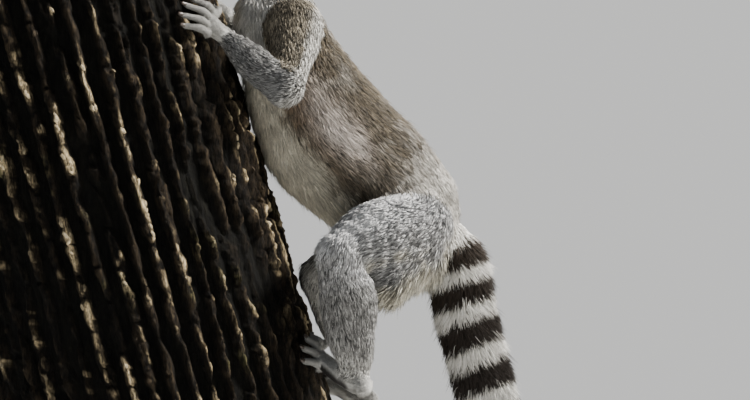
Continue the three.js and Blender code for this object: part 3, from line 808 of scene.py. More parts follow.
def makeEar(side, settings):
    up = unit(np.array([-0.12, side * 0.5, 0.86]))
    front = np.array([0.82, side * 0.55, -0.1])
    front = unit(front - up * (front @ up))
    across = np.cross(up, front)
    root = np.array([-14, side * 20, 20.0])
    shape = smoothPath(settings["rings"], 6)
    rows, sides = settings["rows"], settings["sides"]
    levels = np.interp(np.linspace(0, 1, rows), np.linspace(0, 1, len(shape)), np.arange(len(shape)))
    points, inner = [], []
    for level in levels:
        i = min(int(level), len(shape) - 2)
        height, half, cup = shape[i] * (1 - level + i) + shape[i + 1] * (level - i)
        for turn in np.arange(sides) / sides * 2 * math.pi:
            aside = math.cos(turn)
            bowl = cup * (aside * aside - 1)  # the middle lies behind the edges
            wall = settings["wall"] * (0.5 if height < 44 else 0.35)
            rolled = 1.4 * aside**6 * (1 - height / 60)
            off = bowl + rolled + math.sin(turn) * wall
            points.append(root + up * height + across * aside * half + front * off)
            inner.append(0.0 if math.sin(turn) < 0 else 1.0)
    points = np.array(points)
    faces = gridFaces(rows, sides)
    last = (rows - 1) * sides
    faces += [(last, last + i, last + i + 1) for i in range(1, sides - 1)]
    faces += [(0, i + 1, i) for i in range(1, sides - 1)]
    faces = outwardFaces(points, np.array(faces))
    lie = np.repeat(unit(up - front * 0.1)[None, :], len(points), axis=0)
    return fromHead(points), faces, lie @ headMatrix.T, np.array(inner)


def makeSkin(settings):
    points, faces = netSurface(wholeField, settings["low"], settings["high"], settings["cell"])
    points = settle(wholeField, points, settings["rounds"], 1.5)
    # the head, hands and toes are made finer once, and the face once more
    for finer in ("head", "face"):
        local = toHead(points)
        chosen = np.linalg.norm(local - np.array(settings["middle"]), axis=1) < settings[finer]
        if finer == "head":
            chosen |= inRegion(regionOfChain[describe(points)[0]], "hand", "digitHand", "digitFoot")
        else:
            chosen &= (local[:, 0] > 8) & (local[:, 2] > -24)
        before = len(points)
        points, faces = splitFaces(points, faces, chosen)
        points[before:] = settle(wholeField, points[before:], settings["rounds"], 0.8)
    index, lie = describe(points)
    inner = np.zeros(len(points))
    for side in (1, -1):
        earPoints, earFaces, earLie, earInner = makeEar(side, earSettings)
        faces = np.vstack([faces, earFaces + len(points)])
        points = np.vstack([points, earPoints])
        lie = np.vstack([lie, earLie])
        inner = np.concatenate([inner, earInner])
        index = np.concatenate([index, np.full(len(earPoints), earIndex)])
    normals = cornerNormals(points, faces)
    lie = unit(lie - normals * (lie * normals).sum(axis=1, keepdims=True))
    return {"points": points, "faces": faces, "index": index, "lie": lie, "normals": normals, "inner": inner}


skin = makeSkin(skinSettings)
print("skin made:", len(skin["points"]), "corners,", len(skin["faces"]), "faces")

# the markings, the same for skin and coat

pelt = {
    "back": (0.100, 0.080, 0.052), "warm": (0.160, 0.108, 0.064), "grey": (0.300, 0.298, 0.292),
    "thigh": (0.780, 0.785, 0.800), "litSwirl": (0.720, 0.645, 0.595), "shoulder": (0.200, 0.162, 0.100),
    "rump": (0.700, 0.675, 0.628), "cream": (0.620, 0.578, 0.475), "fringe": (0.780, 0.730, 0.600),
    "white": (0.800, 0.785, 0.740),
    "crown": (0.105, 0.102, 0.098), "black": (0.012, 0.011, 0.010), "tailDark": (0.010, 0.007, 0.006),
    "paw": (0.560, 0.555, 0.530), "pad": (0.030, 0.027, 0.026), "inside": (0.330, 0.250, 0.225),
}
pelt = {key: np.array(value) for key, value in pelt.items()}
ringSettings = {  # in mm along the tail
    "firstWhite": 60.0, "pitches": (42.5, 38.5, 36.0, 38.0), "pitch": 39.0, "last": 505, "white": 0.40,
    "tilt": 0.32,
}
dorsal = np.array([0.815, 0.0, 0.58])


def ringShade(along, wander, settings=ringSettings):
    # 1 on a white ring and 0 on a dark one
    middles = [settings["firstWhite"]]
    for step in settings["pitches"]:
        middles.append(middles[-1] + step)
    while middles[-1] < settings["last"]:
        middles.append(middles[-1] + settings["pitch"])
    middles = np.array(middles)
    steps = np.diff(middles, append=middles[-1] + settings["pitch"])
    shade = np.zeros(len(along))
    for middle, step in zip(middles, steps):
        half = step * settings["white"] / 2
        shade = np.maximum(shade, 1 - ease(np.abs(along + wander - middle), half - 1.2, half + 1.2))
    return shade


def paintRules(tint, *rules):
    # each rule is a colour of the pelt, a gain for it and how strongly it covers
    for key, gain, weight in rules:
        tint = blendTo(tint, pelt[key] * gain, weight)
    return tint


def markings(points, normals, index, inner):
    region = regionOfChain[index]
    speckle = layeredNoise(points, 26.0, 3)
    edge = layeredNoise(points, 11.0, 5)
    colour = np.empty_like(points)
    insideFace = np.where(points[:, 1] < 0, 1.0, -1.0) * normals[:, 1]

    torso = np.flatnonzero(inRegion(region, "spine", "nape"))
    p, n, rough = points[torso], normals[torso], edge[torso]
    _, along = measureChain(chains[0], p)
    centre, _ = pointOnChain(chains[0], along)
    height = unit(p - centre) @ dorsal
    # a warm band down the flank, a paler whorl of hair behind the shoulder with a painted pool of light on
    # it, a brown saddle and then the pale rump
    wave = along + 0.05 * rough
    saddle = bell(wave + 0.10 * height - 0.70, 0.085) * ease(height, -0.45, -0.1)
    grizzle = 0.10 * rough + 0.05 * softNoise(p, 5.0, 71)
    sides = ease(np.abs(n[:, 1]) + grizzle, 0.25, 0.7) * ease(along, 0.80, 0.95)
    colour[torso] = paintRules(
        pelt["back"],
        ("rump", 0.5, 0.4 * ease(speckle[torso], 0.0, 0.7)),
        ("warm", 1, 0.85 * bell(height + 0.12, 0.42) * bell(wave - 0.36, 0.17)),
        # paler hair behind the shoulder, brightened into a painted pinkish pool of light
        ("litSwirl", 1, 0.9 * bell(height - 0.16, 0.30) * bell(wave - 0.50, 0.15)),
        ("back", 0.9, 0.75 * saddle),
        ("rump", 1, 0.9 * ease(along + grizzle + 0.06 * height, 0.64, 0.96)),
        ("white", 0.86, 0.7 * sides),
        ("cream", 1, ease(-height + 0.22 * rough + 0.1 * speckle[torso], 0.25, 0.72)),
        ("white", 1, ease(-n[:, 0] + 0.15 * rough, 0.05, 0.5) * ease(p[:, 2], 740, 775)),
        ("grey", 0.7, 0.7 * ease(n[:, 0], 0.0, 0.4) * ease(p[:, 2], 795, 825)),
    )

    arms = np.flatnonzero(inRegion(region, *armRegions))
    n, rough = normals[arms], 0.2 * edge[arms]
    # the rear of each arm is painted white: paler hair there, with a painted highlight on the side the light
    # comes from
    rear = ease(n[:, 0] - 0.4 * n[:, 2] + rough, 0.25, 0.7)
    rear *= 0.55 + 0.45 * ease(insideFace[arms], -0.9, -0.3)
    colour[arms] = paintRules(
        pelt["grey"],
        ("shoulder", 1, 0.75 * inRegion(region[arms], "upperArm")),
        ("white", 0.95, 0.9 * np.maximum(ease(insideFace[arms] + rough, 0.1, 0.6), rear)),
    )

    legs = np.flatnonzero(inRegion(region, *legRegions))
    p, n, rough = points[legs], normals[legs], 0.2 * edge[legs]
    under = ease(0.45 * n[:, 0] - 0.9 * n[:, 2] + rough, 0.45, 0.8)
    under *= ease(p[:, 2], 470, 490) * ease(p[:, 0], 232, 252)
    low = 0.55 * ease(-p[:, 2], -455, -400)
    colour[legs] = paintRules(
        pelt["grey"] * 0.85,
        # pale thigh fur, painted lighter still on its top where light falls
        ("thigh", 1, ease(p[:, 2], 490, 540) * (0.25 + 0.75 * ease(n[:, 2] + rough, -0.15, 0.45))),
        ("white", 1, np.maximum(ease(insideFace[legs] + rough, 0.2, 0.7), low)),
        ("fringe", 1, under),
    )

    paws = np.flatnonzero(inRegion(region, *pawRegions))
    colour[paws] = paintRules(
        pelt["paw"],
        ("paw", 0.42, 0.85 * inRegion(region[paws], "digitHand", "digitFoot")),
        ("pad", 1, ease(-(normals[paws] @ trunkSide), 0.6, 0.85)),
    )

    tail = np.flatnonzero(inRegion(region, "tail"))
    _, part = measureChain(chains[-1], points[tail])
    centre, _ = pointOnChain(chains[-1], part)
    along = part * chains[-1]["length"]
    along += ringSettings["tilt"] * (points[tail] - centre)[:, 0] * np.exp(-along / 260)
    white = np.maximum(ringShade(along, 1.6 * edge[tail]), 1 - ease(along, 66, 70))
    colour[tail] = paintRules(
        pelt["tailDark"],
        ("warm", 0.32, np.exp(-along / 90)),
        ("white", 0.97, white),
        ("rump", 0.8, 1 - ease(along, 20, 58)),
    )

    head = np.flatnonzero(inRegion(region, "head", "ear"))
    local, rough = toHead(points[head]), edge[head]
    x, y, z = local.T
    crownLine = 17.5 - 0.10 * np.abs(y) + 1.2 * rough
    tint = paintRules(
        pelt["white"],
        ("crown", 1, ease(z + 0.22 * (10 - x).clip(-20, 20), crownLine, crownLine + 4)),
        ("grey", 0.62, ease(-x + 3 * rough, 22, 34) * ease(z, -18, -2)),
        ("grey", 1.1, 0.45 * ease(-x, 6, 26) * ease(-z, -2, 10)),
    )
    for eyeSide in (1, -1):
        centre, _, up, across = eyeFrame(eyeSide)
        offset = local - centre
        aside, rise = offset @ across, offset @ up
        inward = offset[:, 1] * -eyeSide
        oval = np.hypot(aside / 11.0, (rise + 0.5) / 10.0)
        drop = np.hypot((offset[:, 0] - 5) / 9.0, np.hypot((inward - 2) / 6.0, (rise + 6) / 7.0))
        patch = 1 - ease(np.minimum(oval, drop) + 0.07 * rough, 0.92, 1.12)
        tint = paintRules(tint, ("black", 1.4, patch * ease(x, 4, 10)))
    tip = ease(x + 0.7 * rough + 0.25 * z.clip(-12, 6), 38, 43.5)
    tip *= ease(z, -19, -15.5)
    tint = paintRules(tint, ("black", 1.6, tip), ("black", 1, 0.85 * mouthGroove(local)))
    onEar = inRegion(region[head], "ear")[:, None]
    colour[head] = np.where(onEar, blendTo(pelt["white"], pelt["inside"], 0.85 * inner[head]), tint)
    return colour * (1 + 0.10 * speckle[:, None])


skin["colour"] = markings(skin["points"], skin["normals"], skin["index"], skin["inner"])
print("markings worked out")

# the coat: tufts rooted on the skin that follow its lie

# each region's piece and slot, length and width in mm, roots to the square mm, and lift in degrees at the
# root and near the tip
coatSettings = {
    "spine": ("coatTorso", "fur_back", 18.0, 1.42, 0.67, (32, 9)),
    "nape": ("coatNeck", "fur_pale", 15.0, 1.4, 0.66, (30, 9)),
    "upperArm": ("coatArms", "fur_limb", 13.5, 1.35, 0.7, (30, 8)),
    "foreArm": ("coatArms", "fur_limb", 10.0, 1.15, 0.9, (27, 7)),
    "hand": ("coatPaws", "fur_pale", 5.0, 0.9, 1.0, (22, 4)),
    "digitHand": ("coatPaws", "fur_pale", 3.4, 0.75, 1.3, (18, 4)),
    "thigh": ("coatThighs", "fur_limb", 15.0, 1.35, 0.74, (34, 10)),
    "ham": ("coatThighs", "fur_limb", 16.5, 1.4, 0.68, (34, 12)),
    "shank": ("coatShanks", "fur_limb", 11.5, 1.2, 0.84, (28, 8)),
    "foot": ("coatPaws", "fur_pale", 5.2, 0.95, 0.9, (22, 4)),
    "digitFoot": ("coatPaws", "fur_pale", 3.4, 0.8, 1.2, (18, 4)),
    "tail": ("coatTail", "fur_tail", 26.0, 1.6, 0.86, (56, 31)),
    "head": ("coatHead", "fur_face", 7.5, 0.85, 1.55, (30, 10)),
    "ear": ("coatEars", "fur_face", 5.5, 0.6, 1.0, (24, 8)),
}
coatColumns = ("piece", "slot", "length", "width", "roots", "lift")
coatSettings = {name: dict(zip(coatColumns, row)) for name, row in coatSettings.items()}
strayShare = 0.06
tuftsInPiece = 32500
shortRegions = (*pawRegions, "ear")  # straight tufts serve where the coat is short
elbowSpots = ((158, -112, 716), (146, 112, 730))
tuftShape = {  # a lock is how much its tips are drawn together and its size in mm
    "bend": 0.44, "tip": 0.56, "droop": 0.10, "flat": 0.7, "sink": 0.8, "earSink": 0.15, "mark": 0.003,
    "shortLock": (0.22, 4.2), "longLock": (0.36, 6.5), "lockSeed": 41,
}


def scatterRoots(skin, settings, seed):
    rng = np.random.default_rng(seed)
    points, faces = skin["points"], skin["faces"]
    a, b, c = (points[faces[:, k]] for k in range(3))
    area = np.linalg.norm(np.cross(b - a, c - a), axis=1) / 2
    index = skin["index"][faces[:, 0]]
    region = regionOfChain[index]
    density = np.array([row["roots"] for row in settings.values()])[region]
    middle = (a + b + c) / 3
    face = np.flatnonzero(inRegion(region, "head"))
    density[face] *= 1 + 0.9 * ease(toHead(middle[face])[:, 0], 6, 30)
    normal = unit(np.cross(b - a, c - a))
    density[inRegion(region, *pawRegions) & (normal @ trunkSide < -0.45)] = 0
    running = np.cumsum(area * density)
    wanted = int(running[-1])
    spot = (np.arange(wanted) + rng.random(wanted)) / wanted * running[-1]
    chosen = np.minimum(np.searchsorted(running, spot), len(faces) - 1)
    u, v = rng.random(wanted), rng.random(wanted)
    over = u + v > 1
    u[over], v[over] = 1 - u[over], 1 - v[over]
    weights = np.stack([1 - u - v, u, v], axis=1)
    corner = faces[chosen]

    def spread(values):
        return (values[corner] * weights[..., None]).sum(axis=1)

    inner = (skin["inner"][corner] * weights).sum(axis=1)
    return {
        "at": spread(points), "normal": unit(spread(skin["normals"])), "lie": unit(spread(skin["lie"])),
        "index": skin["index"][corner[:, 0]], "inner": inner, "rng": rng,
    }


def dressRoots(roots, settings):
    # length, width, lift and tints of every tuft
    rng = roots["rng"]
    at, normal, index = roots["at"], roots["normal"], roots["index"]
    region = regionOfChain[index]
    count = len(at)

    def perRoot(key):
        return np.array([row[key] for row in settings.values()])[region]

    length = perRoot("length") * (0.72 + 0.5 * rng.random(count))
    width = perRoot("width") * (0.75 + 0.5 * rng.random(count))
    lift = np.radians(perRoot("lift")[:, 0] + rng.normal(0, 6, count))
    rest = np.radians(perRoot("lift")[:, 1] + rng.normal(0, 5, count))
    length *= 1 + 0.16 * layeredNoise(at, 14.0, 21)

    stray = rng.random(count) < strayShare
    length[stray] *= 1.25
    rest[stray] += 0.22
    width[stray] *= 0.6

    torso = np.flatnonzero(inRegion(region, "spine"))
    _, along = measureChain(chains[0], at[torso])
    centre, _ = pointOnChain(chains[0], along)
    fringe = ease(-(unit(at[torso] - centre) @ dorsal), 0.55, 0.9)
    length[torso] *= 1 + 0.25 * fringe
    rest[torso] += 0.16 * fringe
    legs = np.flatnonzero(inRegion(region, "ham"))
    under = ease(0.45 * normal[legs, 0] - 0.9 * normal[legs, 2], 0.4, 0.8) * ease(at[legs, 0], 228, 255)
    length[legs] *= 1 + 0.95 * under
    rest[legs] += 0.30 * under
    arms = np.flatnonzero(inRegion(region, *armRegions))
    elbow = np.max([bell(np.linalg.norm(at[arms] - spot, axis=1), 22) for spot in elbowSpots], axis=0)
    length[arms] *= 1 + 0.35 * elbow
    rest[arms] += 0.2 * elbow
    length[arms] *= 1 - 0.4 * ease(-at[arms, 0], -112, -92) * inRegion(region[arms], "foreArm")
    shanks = np.flatnonzero(inRegion(region, "shank"))
    length[shanks] *= 1 - 0.4 * ease(-at[shanks, 2], -450, -410)

    tail = np.flatnonzero(inRegion(region, "tail"))
    _, part = measureChain(chains[-1], at[tail])
    early = 1 - ease(part * chains[-1]["length"], 4, 62)
    length[tail] *= 1 - 0.45 * early
    lift[tail] -= 0.30 * early
    rest[tail] -= 0.28 * early

    head = np.flatnonzero(inRegion(region, "head"))
    local = toHead(at[head])
    muzzle = ease(local[:, 0], 2, 34)
    ruff = ease(-local[:, 0], -2, 22)
    length[head] *= (1 - 0.68 * muzzle) * (1 + 0.55 * ruff)
    width[head] *= (1 - 0.35 * muzzle) * (1 + 0.3 * ruff)
    lift[head] -= 0.16 * muzzle
    rest[head] -= 0.06 * muzzle
    bare = np.zeros(count, dtype=bool)
    for side in (1, -1):
        centre, _, up, across = eyeFrame(side)
        offset = local - centre
        around = np.hypot(offset @ across, (offset @ up) / eyeSettings["slit"])
        away = np.linalg.norm(offset, axis=1)
        bare[head[(around < 7.6) & (away < 12)]] = True
        length[head] *= 0.45 + 0.55 * ease(away, 8, 18)
    pad = np.linalg.norm((local - np.array([57.5, 0, -5.6])) / np.array([5.2, 7.2, 5.6]), axis=1)
    bare[head[(pad < 1.0) | (mouthGroove(local) > 0.6)]] = True

    hollow = inRegion(region, "ear") & (roots["inner"] > 0.5)
    bare |= hollow & (rng.random(count) < 0.55)
    length[hollow] *= 1.3

    # every tuft leans toward the tip of the lock that it belongs to
    lie = roots["lie"]
    turn = 0.30 * softNoise(at, 22.0, 31) + 0.18 * softNoise(at, 7.0, 37) + rng.normal(0, 0.19, count)
    across = np.cross(normal, lie)
    lie = lie * np.cos(turn)[:, None] + across * np.sin(turn)[:, None]
    across = np.cross(normal, lie)
    swing = rng.normal(0, 0.16, count)

    onTail = inRegion(region, "tail")
    ahead = np.where(onTail, 0.5, 0.15) * length  # a tuft shows past its root
    base = markings(at + roots["lie"] * ahead[:, None], normal, index, roots["inner"])
    shade = np.exp(rng.normal(0, 0.20, count) + 0.28 * softNoise(at, 5.5, 53) * ~onTail)
    bright = base.mean(axis=1)
    agouti = rng.random(count)
    limbs, torso = inRegion(region, *armRegions, *legRegions), inRegion(region, "spine", "nape")
    shade[limbs & (agouti < 0.34) & (bright < 0.80)] *= 0.30
    shade[limbs & (agouti > 0.70) & (bright < 0.60)] *= 1.55
    shade[torso & (agouti < 0.26) & (bright < 0.4)] *= 0.50
    shade[torso & (agouti > 0.82) & (bright < 0.4)] *= 1.60
    base = base * shade[:, None]
    dim = np.where(bright > 0.68, 0.70, 0.38)
    dim[onTail] = np.where(bright[onTail] > 0.35, 0.85, 0.8)
    dim[inRegion(region, "head", "ear")] = 0.85
    ends = np.where(bright > 0.5, 1.04, 1.22)
    roots.update({
        "region": region, "length": length, "width": width, "lift": lift, "rest": rest, "lie": lie,
        "across": across, "swing": swing, "keep": ~bare,
        "tintRoot": base * dim[:, None], "tintMid": base, "tintTip": np.minimum(base * ends[:, None], 0.9),
    })
    return roots


def clumpTips(at, tips, share, size, seed):
    # draws the tips of neighbours together, the way damp or brushed hair parts into locks
    ragged = np.stack([softNoise(at, size * 1.7, seed + k) for k in range(3)], axis=1)
    cell = np.floor(at / size + 0.35 * ragged)
    key = (cell[:, 0] * 4099 + cell[:, 1]) * 4099 + cell[:, 2]
    _, index = np.unique(key, return_inverse=True)
    total = np.bincount(index)
    middle = np.stack([np.bincount(index, tips[:, axis]) / total for axis in range(3)], axis=1)[index]
    return tips + (middle - tips) * share


def buildTufts(roots, pick, straight):
    at, normal, lie = (roots[key][pick] for key in ("at", "normal", "lie"))
    across, length, width = (roots[key][pick] for key in ("across", "length", "width"))
    lift, rest, swing = (roots[key][pick] for key in ("lift", "rest", "swing"))
    count = len(at)
    first = lie * np.cos(lift)[:, None] + normal * np.sin(lift)[:, None]
    second = lie * np.cos(rest)[:, None] + normal * np.sin(rest)[:, None] + across * swing[:, None]
    down = np.array([0, 0, -tuftShape["droop"]])
    middle = at + first * (tuftShape["bend"] * length)[:, None]
    tips = middle + unit(second + down) * (tuftShape["tip"] * length)[:, None]
    tips = clumpTips(at, tips, *tuftShape["shortLock" if straight else "longLock"], tuftShape["lockSeed"])
    ring = np.arange(3) * 2 * math.pi / 3 + 0.5
    sink = np.where(inRegion(roots["region"][pick], "ear"), tuftShape["earSink"], tuftShape["sink"])
    base = at - normal * sink[:, None]
    # a long tuft swells from one point to its bend and runs out to its tip; a short one is a plain spike
    ringAt, heading = (base, first) if straight else (middle, unit(first + second))
    rise = unit(np.cross(heading, across))
    rows = [] if straight else [base]
    for angle in ring:
        side = across * math.cos(angle) - rise * (tuftShape["flat"] * math.sin(angle))
        rows.append(ringAt + side * (width / 2)[:, None])
    rows.append(tips)
    points = np.stack(rows, axis=1)
    each = points.shape[1]
    tip, start = each - 1, 0 if straight else 1
    low = 0.0 if straight else 0.45
    pattern, spots = [], []
    if straight:
        pattern.append((2, 1, 0))
        spots.append(((0.5, 0), (0.25, 0), (0, 0)))
    for k in range(3):
        here, there = start + k, start + (k + 1) % 3
        left, right = k / 3, (k + 1) / 3
        if not straight:
            pattern.append((0, there, here))
            spots.append((((left + right) / 2, 0.0), (right, low), (left, low)))
        pattern.append((here, there, tip))
        spots.append(((left, low), (right, low), ((left + right) / 2, 1.0)))
    pattern, spots = np.array(pattern), np.array(spots)
    faces = (np.arange(count) * each)[:, None, None] + pattern[None]
    keys = ["tintRoot"] * 3 if straight else ["tintRoot"] + ["tintMid"] * 3
    tints = np.stack([roots[key][pick] for key in (*keys, "tintTip")], axis=1)
    soft = np.repeat(normal[:, None, :], each, axis=1)
    places = roots["place"][pick][:, None, None, :] + (spots[None] - 0.5) * tuftShape["mark"]
    return [*(values.reshape(-1, 3) for values in (points, faces, tints, soft)), places.reshape(-1, 2)]


def unwrapRoots(roots, pick):
    # lays the skin under one piece out flat: a strip for each chain, along it and round it
    index, at = roots["index"][pick], roots["at"][pick]
    place = np.zeros((len(pick), 2))
    names, counts = np.unique(index, return_counts=True)
    left = 0.0
    for name, count in zip(names, counts):
        wide = count / len(pick)
        mine = np.flatnonzero(index == name)
        if name >= headIndex:
            local = toHead(at[mine]) - np.array([5, 0, -2])
            turn = np.arctan2(local[:, 1], local[:, 2]) / (2 * math.pi) + 0.5
            along = np.arccos(np.clip(unit(local)[:, 0], -1, 1)) / math.pi
            if name == earIndex:
                turn = (turn + roots["inner"][pick][mine]) / 2
        else:
            chain = chains[name]
            _, part = measureChain(chain, at[mine])
            centre, heading = pointOnChain(chain, part)
            offset = at[mine] - centre
            beyond = (offset * heading).sum(axis=1)
            other = unit(np.cross(heading, np.array([0, 1.0, 0])))
            turn = np.arctan2((offset * other).sum(axis=1), offset[:, 1]) / (2 * math.pi) + 0.5
            span = np.linalg.norm(np.diff(chain["path"], axis=0), axis=1).sum()
            along = part + beyond / span
        along = (along - along.min()) / max(np.ptp(along), 1e-6)
        place[mine, 0] = left + wide * (0.02 + 0.96 * turn)
        place[mine, 1] = 0.01 + 0.98 * along
        left += wide
    return place * 0.99 + 0.005


# hair, skin and the shader groups that they share


def makeStrandGroup():
    # dulls and brightens the coat in patches and along its strands
    inputs = [("Tint", "Color", (0.5, 0.5, 0.5, 1)), ("Patches", "Float", 60.0), ("Strands", "Float", 900.0),
              ("Contrast", "Float", 0.3)]
    outputs = [("Color", "Color"), ("Mask", "Float")]
    group, given, out = makeTree("strandTint", "ShaderNodeTree", inputs, outputs)
    coords = objectCoords(group)
    patches = noiseNode(group, coords, given.outputs["Patches"], 3.0, 0.5)
    strands = noiseNode(group, coords, given.outputs["Strands"], 2.0, 0.5)
    centred = mathNode(group, "SUBTRACT", mathNode(group, "ADD", patches, strands), 1.0)
    scaled = mathNode(group, "MULTIPLY", centred, given.outputs["Contrast"])
    values = {0: given.outputs["Tint"], "Scale": mathNode(group, "ADD", scaled, 1.0)}
    tint = addNode(group, "ShaderNodeVectorMath", values, operation="SCALE")
    setInputs(group, out, {"Color": tint.outputs[0], "Mask": strands})
    return group


strandGroup = makeStrandGroup()
hairFinishes = {
    "fur_back": {"rough": 0.62, "sheen": 0.12, "patches": 45.0, "contrast": 0.60, "follow": 0.62},
    "fur_limb": {"rough": 0.60, "sheen": 0.12, "patches": 60.0, "contrast": 0.55, "follow": 0.62},
    "fur_pale": {"rough": 0.68, "sheen": 0.14, "patches": 70.0, "contrast": 0.35, "follow": 0.60},
    "fur_tail": {"rough": 0.70, "sheen": 0.04, "patches": 50.0, "contrast": 0.35, "follow": 0.45},
    "fur_face": {"rough": 0.70, "sheen": 0.12, "patches": 120.0, "contrast": 0.30, "follow": 0.65},
}


def addStrands(tree, patches, strands, contrast):
    values = {"Tint": pointTint(tree), "Patches": patches, "Strands": strands, "Contrast": contrast}
    return addNode(tree, "ShaderNodeGroup", values, node_tree=strandGroup).outputs


def hairMaterial(name, finish):
    rough = finish["rough"]
    material, tree, shader = newMaterial(name, {
        "Roughness": rough, "Sheen Weight": finish["sheen"], "Sheen Roughness": 0.45,
        "Specular IOR Level": 0.32,
    })
    strand = addStrands(tree, finish["patches"], 700.0, finish["contrast"])
    own = addNode(tree, "ShaderNodeNewGeometry").outputs["Normal"]
    soft = addNode(tree, "ShaderNodeAttribute", attribute_name="coatNormal").outputs["Vector"]
    lean = addNode(tree, "ShaderNodeMix", {0: finish["follow"], 4: own, 5: soft}, data_type="VECTOR")
    even = addNode(tree, "ShaderNodeVectorMath", {0: lean.outputs[1]}, operation="NORMALIZE")
    dull = rangeNode(tree, strand["Mask"], rough - 0.1, rough + 0.15)
    setInputs(tree, shader, {"Base Color": strand["Color"], "Roughness": dull, "Normal": even.outputs[0]})
    return material


hairMaterials = {name: hairMaterial(name + "_hair", finish) for name, finish in hairFinishes.items()}


def skinMaterial():
    material, tree, shader = newMaterial("lemurSkin", {"Roughness": 0.72, "Specular IOR Level": 0.3})
    coords = objectCoords(tree)
    height = mathNode(tree, "ADD", noiseNode(tree, coords, 1400.0, 4.0), cellNode(tree, coords, 420.0))
    tint = addStrands(tree, 90.0, 1500.0, 0.7)["Color"]
    setInputs(tree, shader, {"Base Color": tint, "Normal": bumpNode(tree, height, 0.5, 0.0012)})
    return material


fleshNodes = [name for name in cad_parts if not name.startswith(("stand_", "perch_", "eye_", "nose"))]
# painted shade: the skin under the coat is darker than the coat's markings, all but on the paws, head and
# ears
under = 0.62 + 0.38 * inRegion(regionOfChain[skin["index"]], *pawRegions, "head", "ear")
skinMesh = meshFromArrays("skin", skin["points"], skin["faces"], skin["colour"] * under[:, None])
showMesh("skin", skinMesh, skinMaterial(), "fur_back", *fleshNodes)


def makeCoat():
    roots = dressRoots(scatterRoots(skin, coatSettings, 7), coatSettings)
    roots["place"] = np.zeros((len(roots["at"]), 2))
    groups = {}
    for number, row in enumerate(coatSettings.values()):
        mine = np.flatnonzero((roots["region"] == number) & roots["keep"])
        groups.setdefault(row["piece"], [row["slot"], []])[1].append(mine)
    total = 0
    for name, (slotName, picks) in groups.items():
        pick = np.concatenate(picks)
        parts = max(math.ceil(len(pick) / tuftsInPiece), 1)
        order = np.argsort(roots["at"][pick] @ np.array([0.2, 0.05, -1.0]))
        for number, chosen in enumerate(np.array_split(pick[order], parts)):
            roots["place"][chosen] = unwrapRoots(roots, chosen)
            short = inRegion(roots["region"][chosen], *shortRegions)
            built = []
            for straight, mine in ((True, chosen[short]), (False, chosen[~short])):
                if len(mine):
                    built.append(buildTufts(roots, mine, straight))
            if len(built) > 1:
                built[1][1] += len(built[0][0])
            points, faces, tints, soft, places = (np.concatenate(values) for values in zip(*built))
            label = name + (str(number + 1) if parts > 1 else "")
            mesh = meshFromArrays(label, points, faces, tints, places, {"coatNormal": soft})
            showMesh(label, mesh, hairMaterials[slotName], slotName)
            total += len(faces)
            print(label, len(chosen), "tufts,", len(faces), "faces")
    print("coat made:", total, "faces")


makeCoat()

# eyes, nose, nails and whiskers

irisSettings = {
    "pupil": 17.0, "edge": 47.0, "amber": (0.62, 0.20, 0.022), "gold": (0.80, 0.36, 0.05),
    "rim": (0.035, 0.012, 0.005), "dark": (0.002, 0.002, 0.002), "bulge": 0.9, "turns": 72, "rings": 44,
}


def makeEye(name, side, settings):
    centre, gaze, up, across = eyeFrame(side)
    radius = eyeSettings["radius"]
    turns, rings = settings["turns"], settings["rings"]
    polar = np.linspace(0, math.pi, rings + 1)[1:-1]
    bend = np.degrees(polar)
    swell = radius + settings["bulge"] * (1 - ease(bend, 0, 44))
    angle = np.arange(turns) / turns * 2 * math.pi
    around = (across * np.cos(angle)[:, None] + up * np.sin(angle)[:, None])[None]
    rows = gaze * (np.cos(polar) * swell)[:, None, None] + around * (np.sin(polar) * swell)[:, None, None]
    front, back = gaze * (radius + settings["bulge"]), -gaze * radius
    points = np.vstack([front, rows.reshape(-1, 3), back]) + centre
    bends = np.concatenate([[0], np.repeat(bend, turns), [180]])
    swings = np.concatenate([[0], np.tile(angle, rings - 1), [0]])
    streaks = softNoise(np.stack([np.cos(swings) * 30, np.sin(swings) * 30, bends * 0.05], axis=1), 2.4, 5)
    iris = blendTo(settings["gold"], settings["amber"], ease(bends + 5 * streaks, 18, 40))
    tint = blendTo(iris, settings["rim"], ease(bends, settings["edge"] - 6, settings["edge"] + 1))
    tint = blendTo(settings["dark"], tint, ease(bends, settings["pupil"] - 2, settings["pupil"] + 1.5))
    last = 1 + (rings - 2) * turns
    faces = [(0, 1 + (i + 1) % turns, 1 + i) for i in range(turns)]
    faces += gridFaces(rings - 1, turns, 1)
    faces += [(last + i, last + (i + 1) % turns, len(points) - 1) for i in range(turns)]
    mesh = meshFromArrays(name, fromHead(points), outwardFaces(points, np.array(faces)), tint)
    showMesh(name, mesh, eyeMaterial, "eye", name)


def makeEyeMaterial():
    material, tree, shader = newMaterial("eyeAmber", {
        "Roughness": 0.18, "Coat Weight": 1.0, "Coat Roughness": 0.02, "Specular IOR Level": 0.6,
    })
    fleck = rampNode(tree, noiseNode(tree, objectCoords(tree), 900.0, 2.0), [(0.35, 0.75), (0.65, 1.1)])
    setInputs(tree, shader, {"Base Color": multiplyColours(tree, pointTint(tree), fleck)})
    return material


eyeMaterial = makeEyeMaterial()
makeEye("eye_left", 1, irisSettings)
makeEye("eye_right", -1, irisSettings)

noseSettings = {
    "at": (57.2, 0.0, -5.8), "radii": (4.4, 6.6, 4.9), "turns": 80, "rings": 56,
    "dark": (0.014, 0.012, 0.012),
}


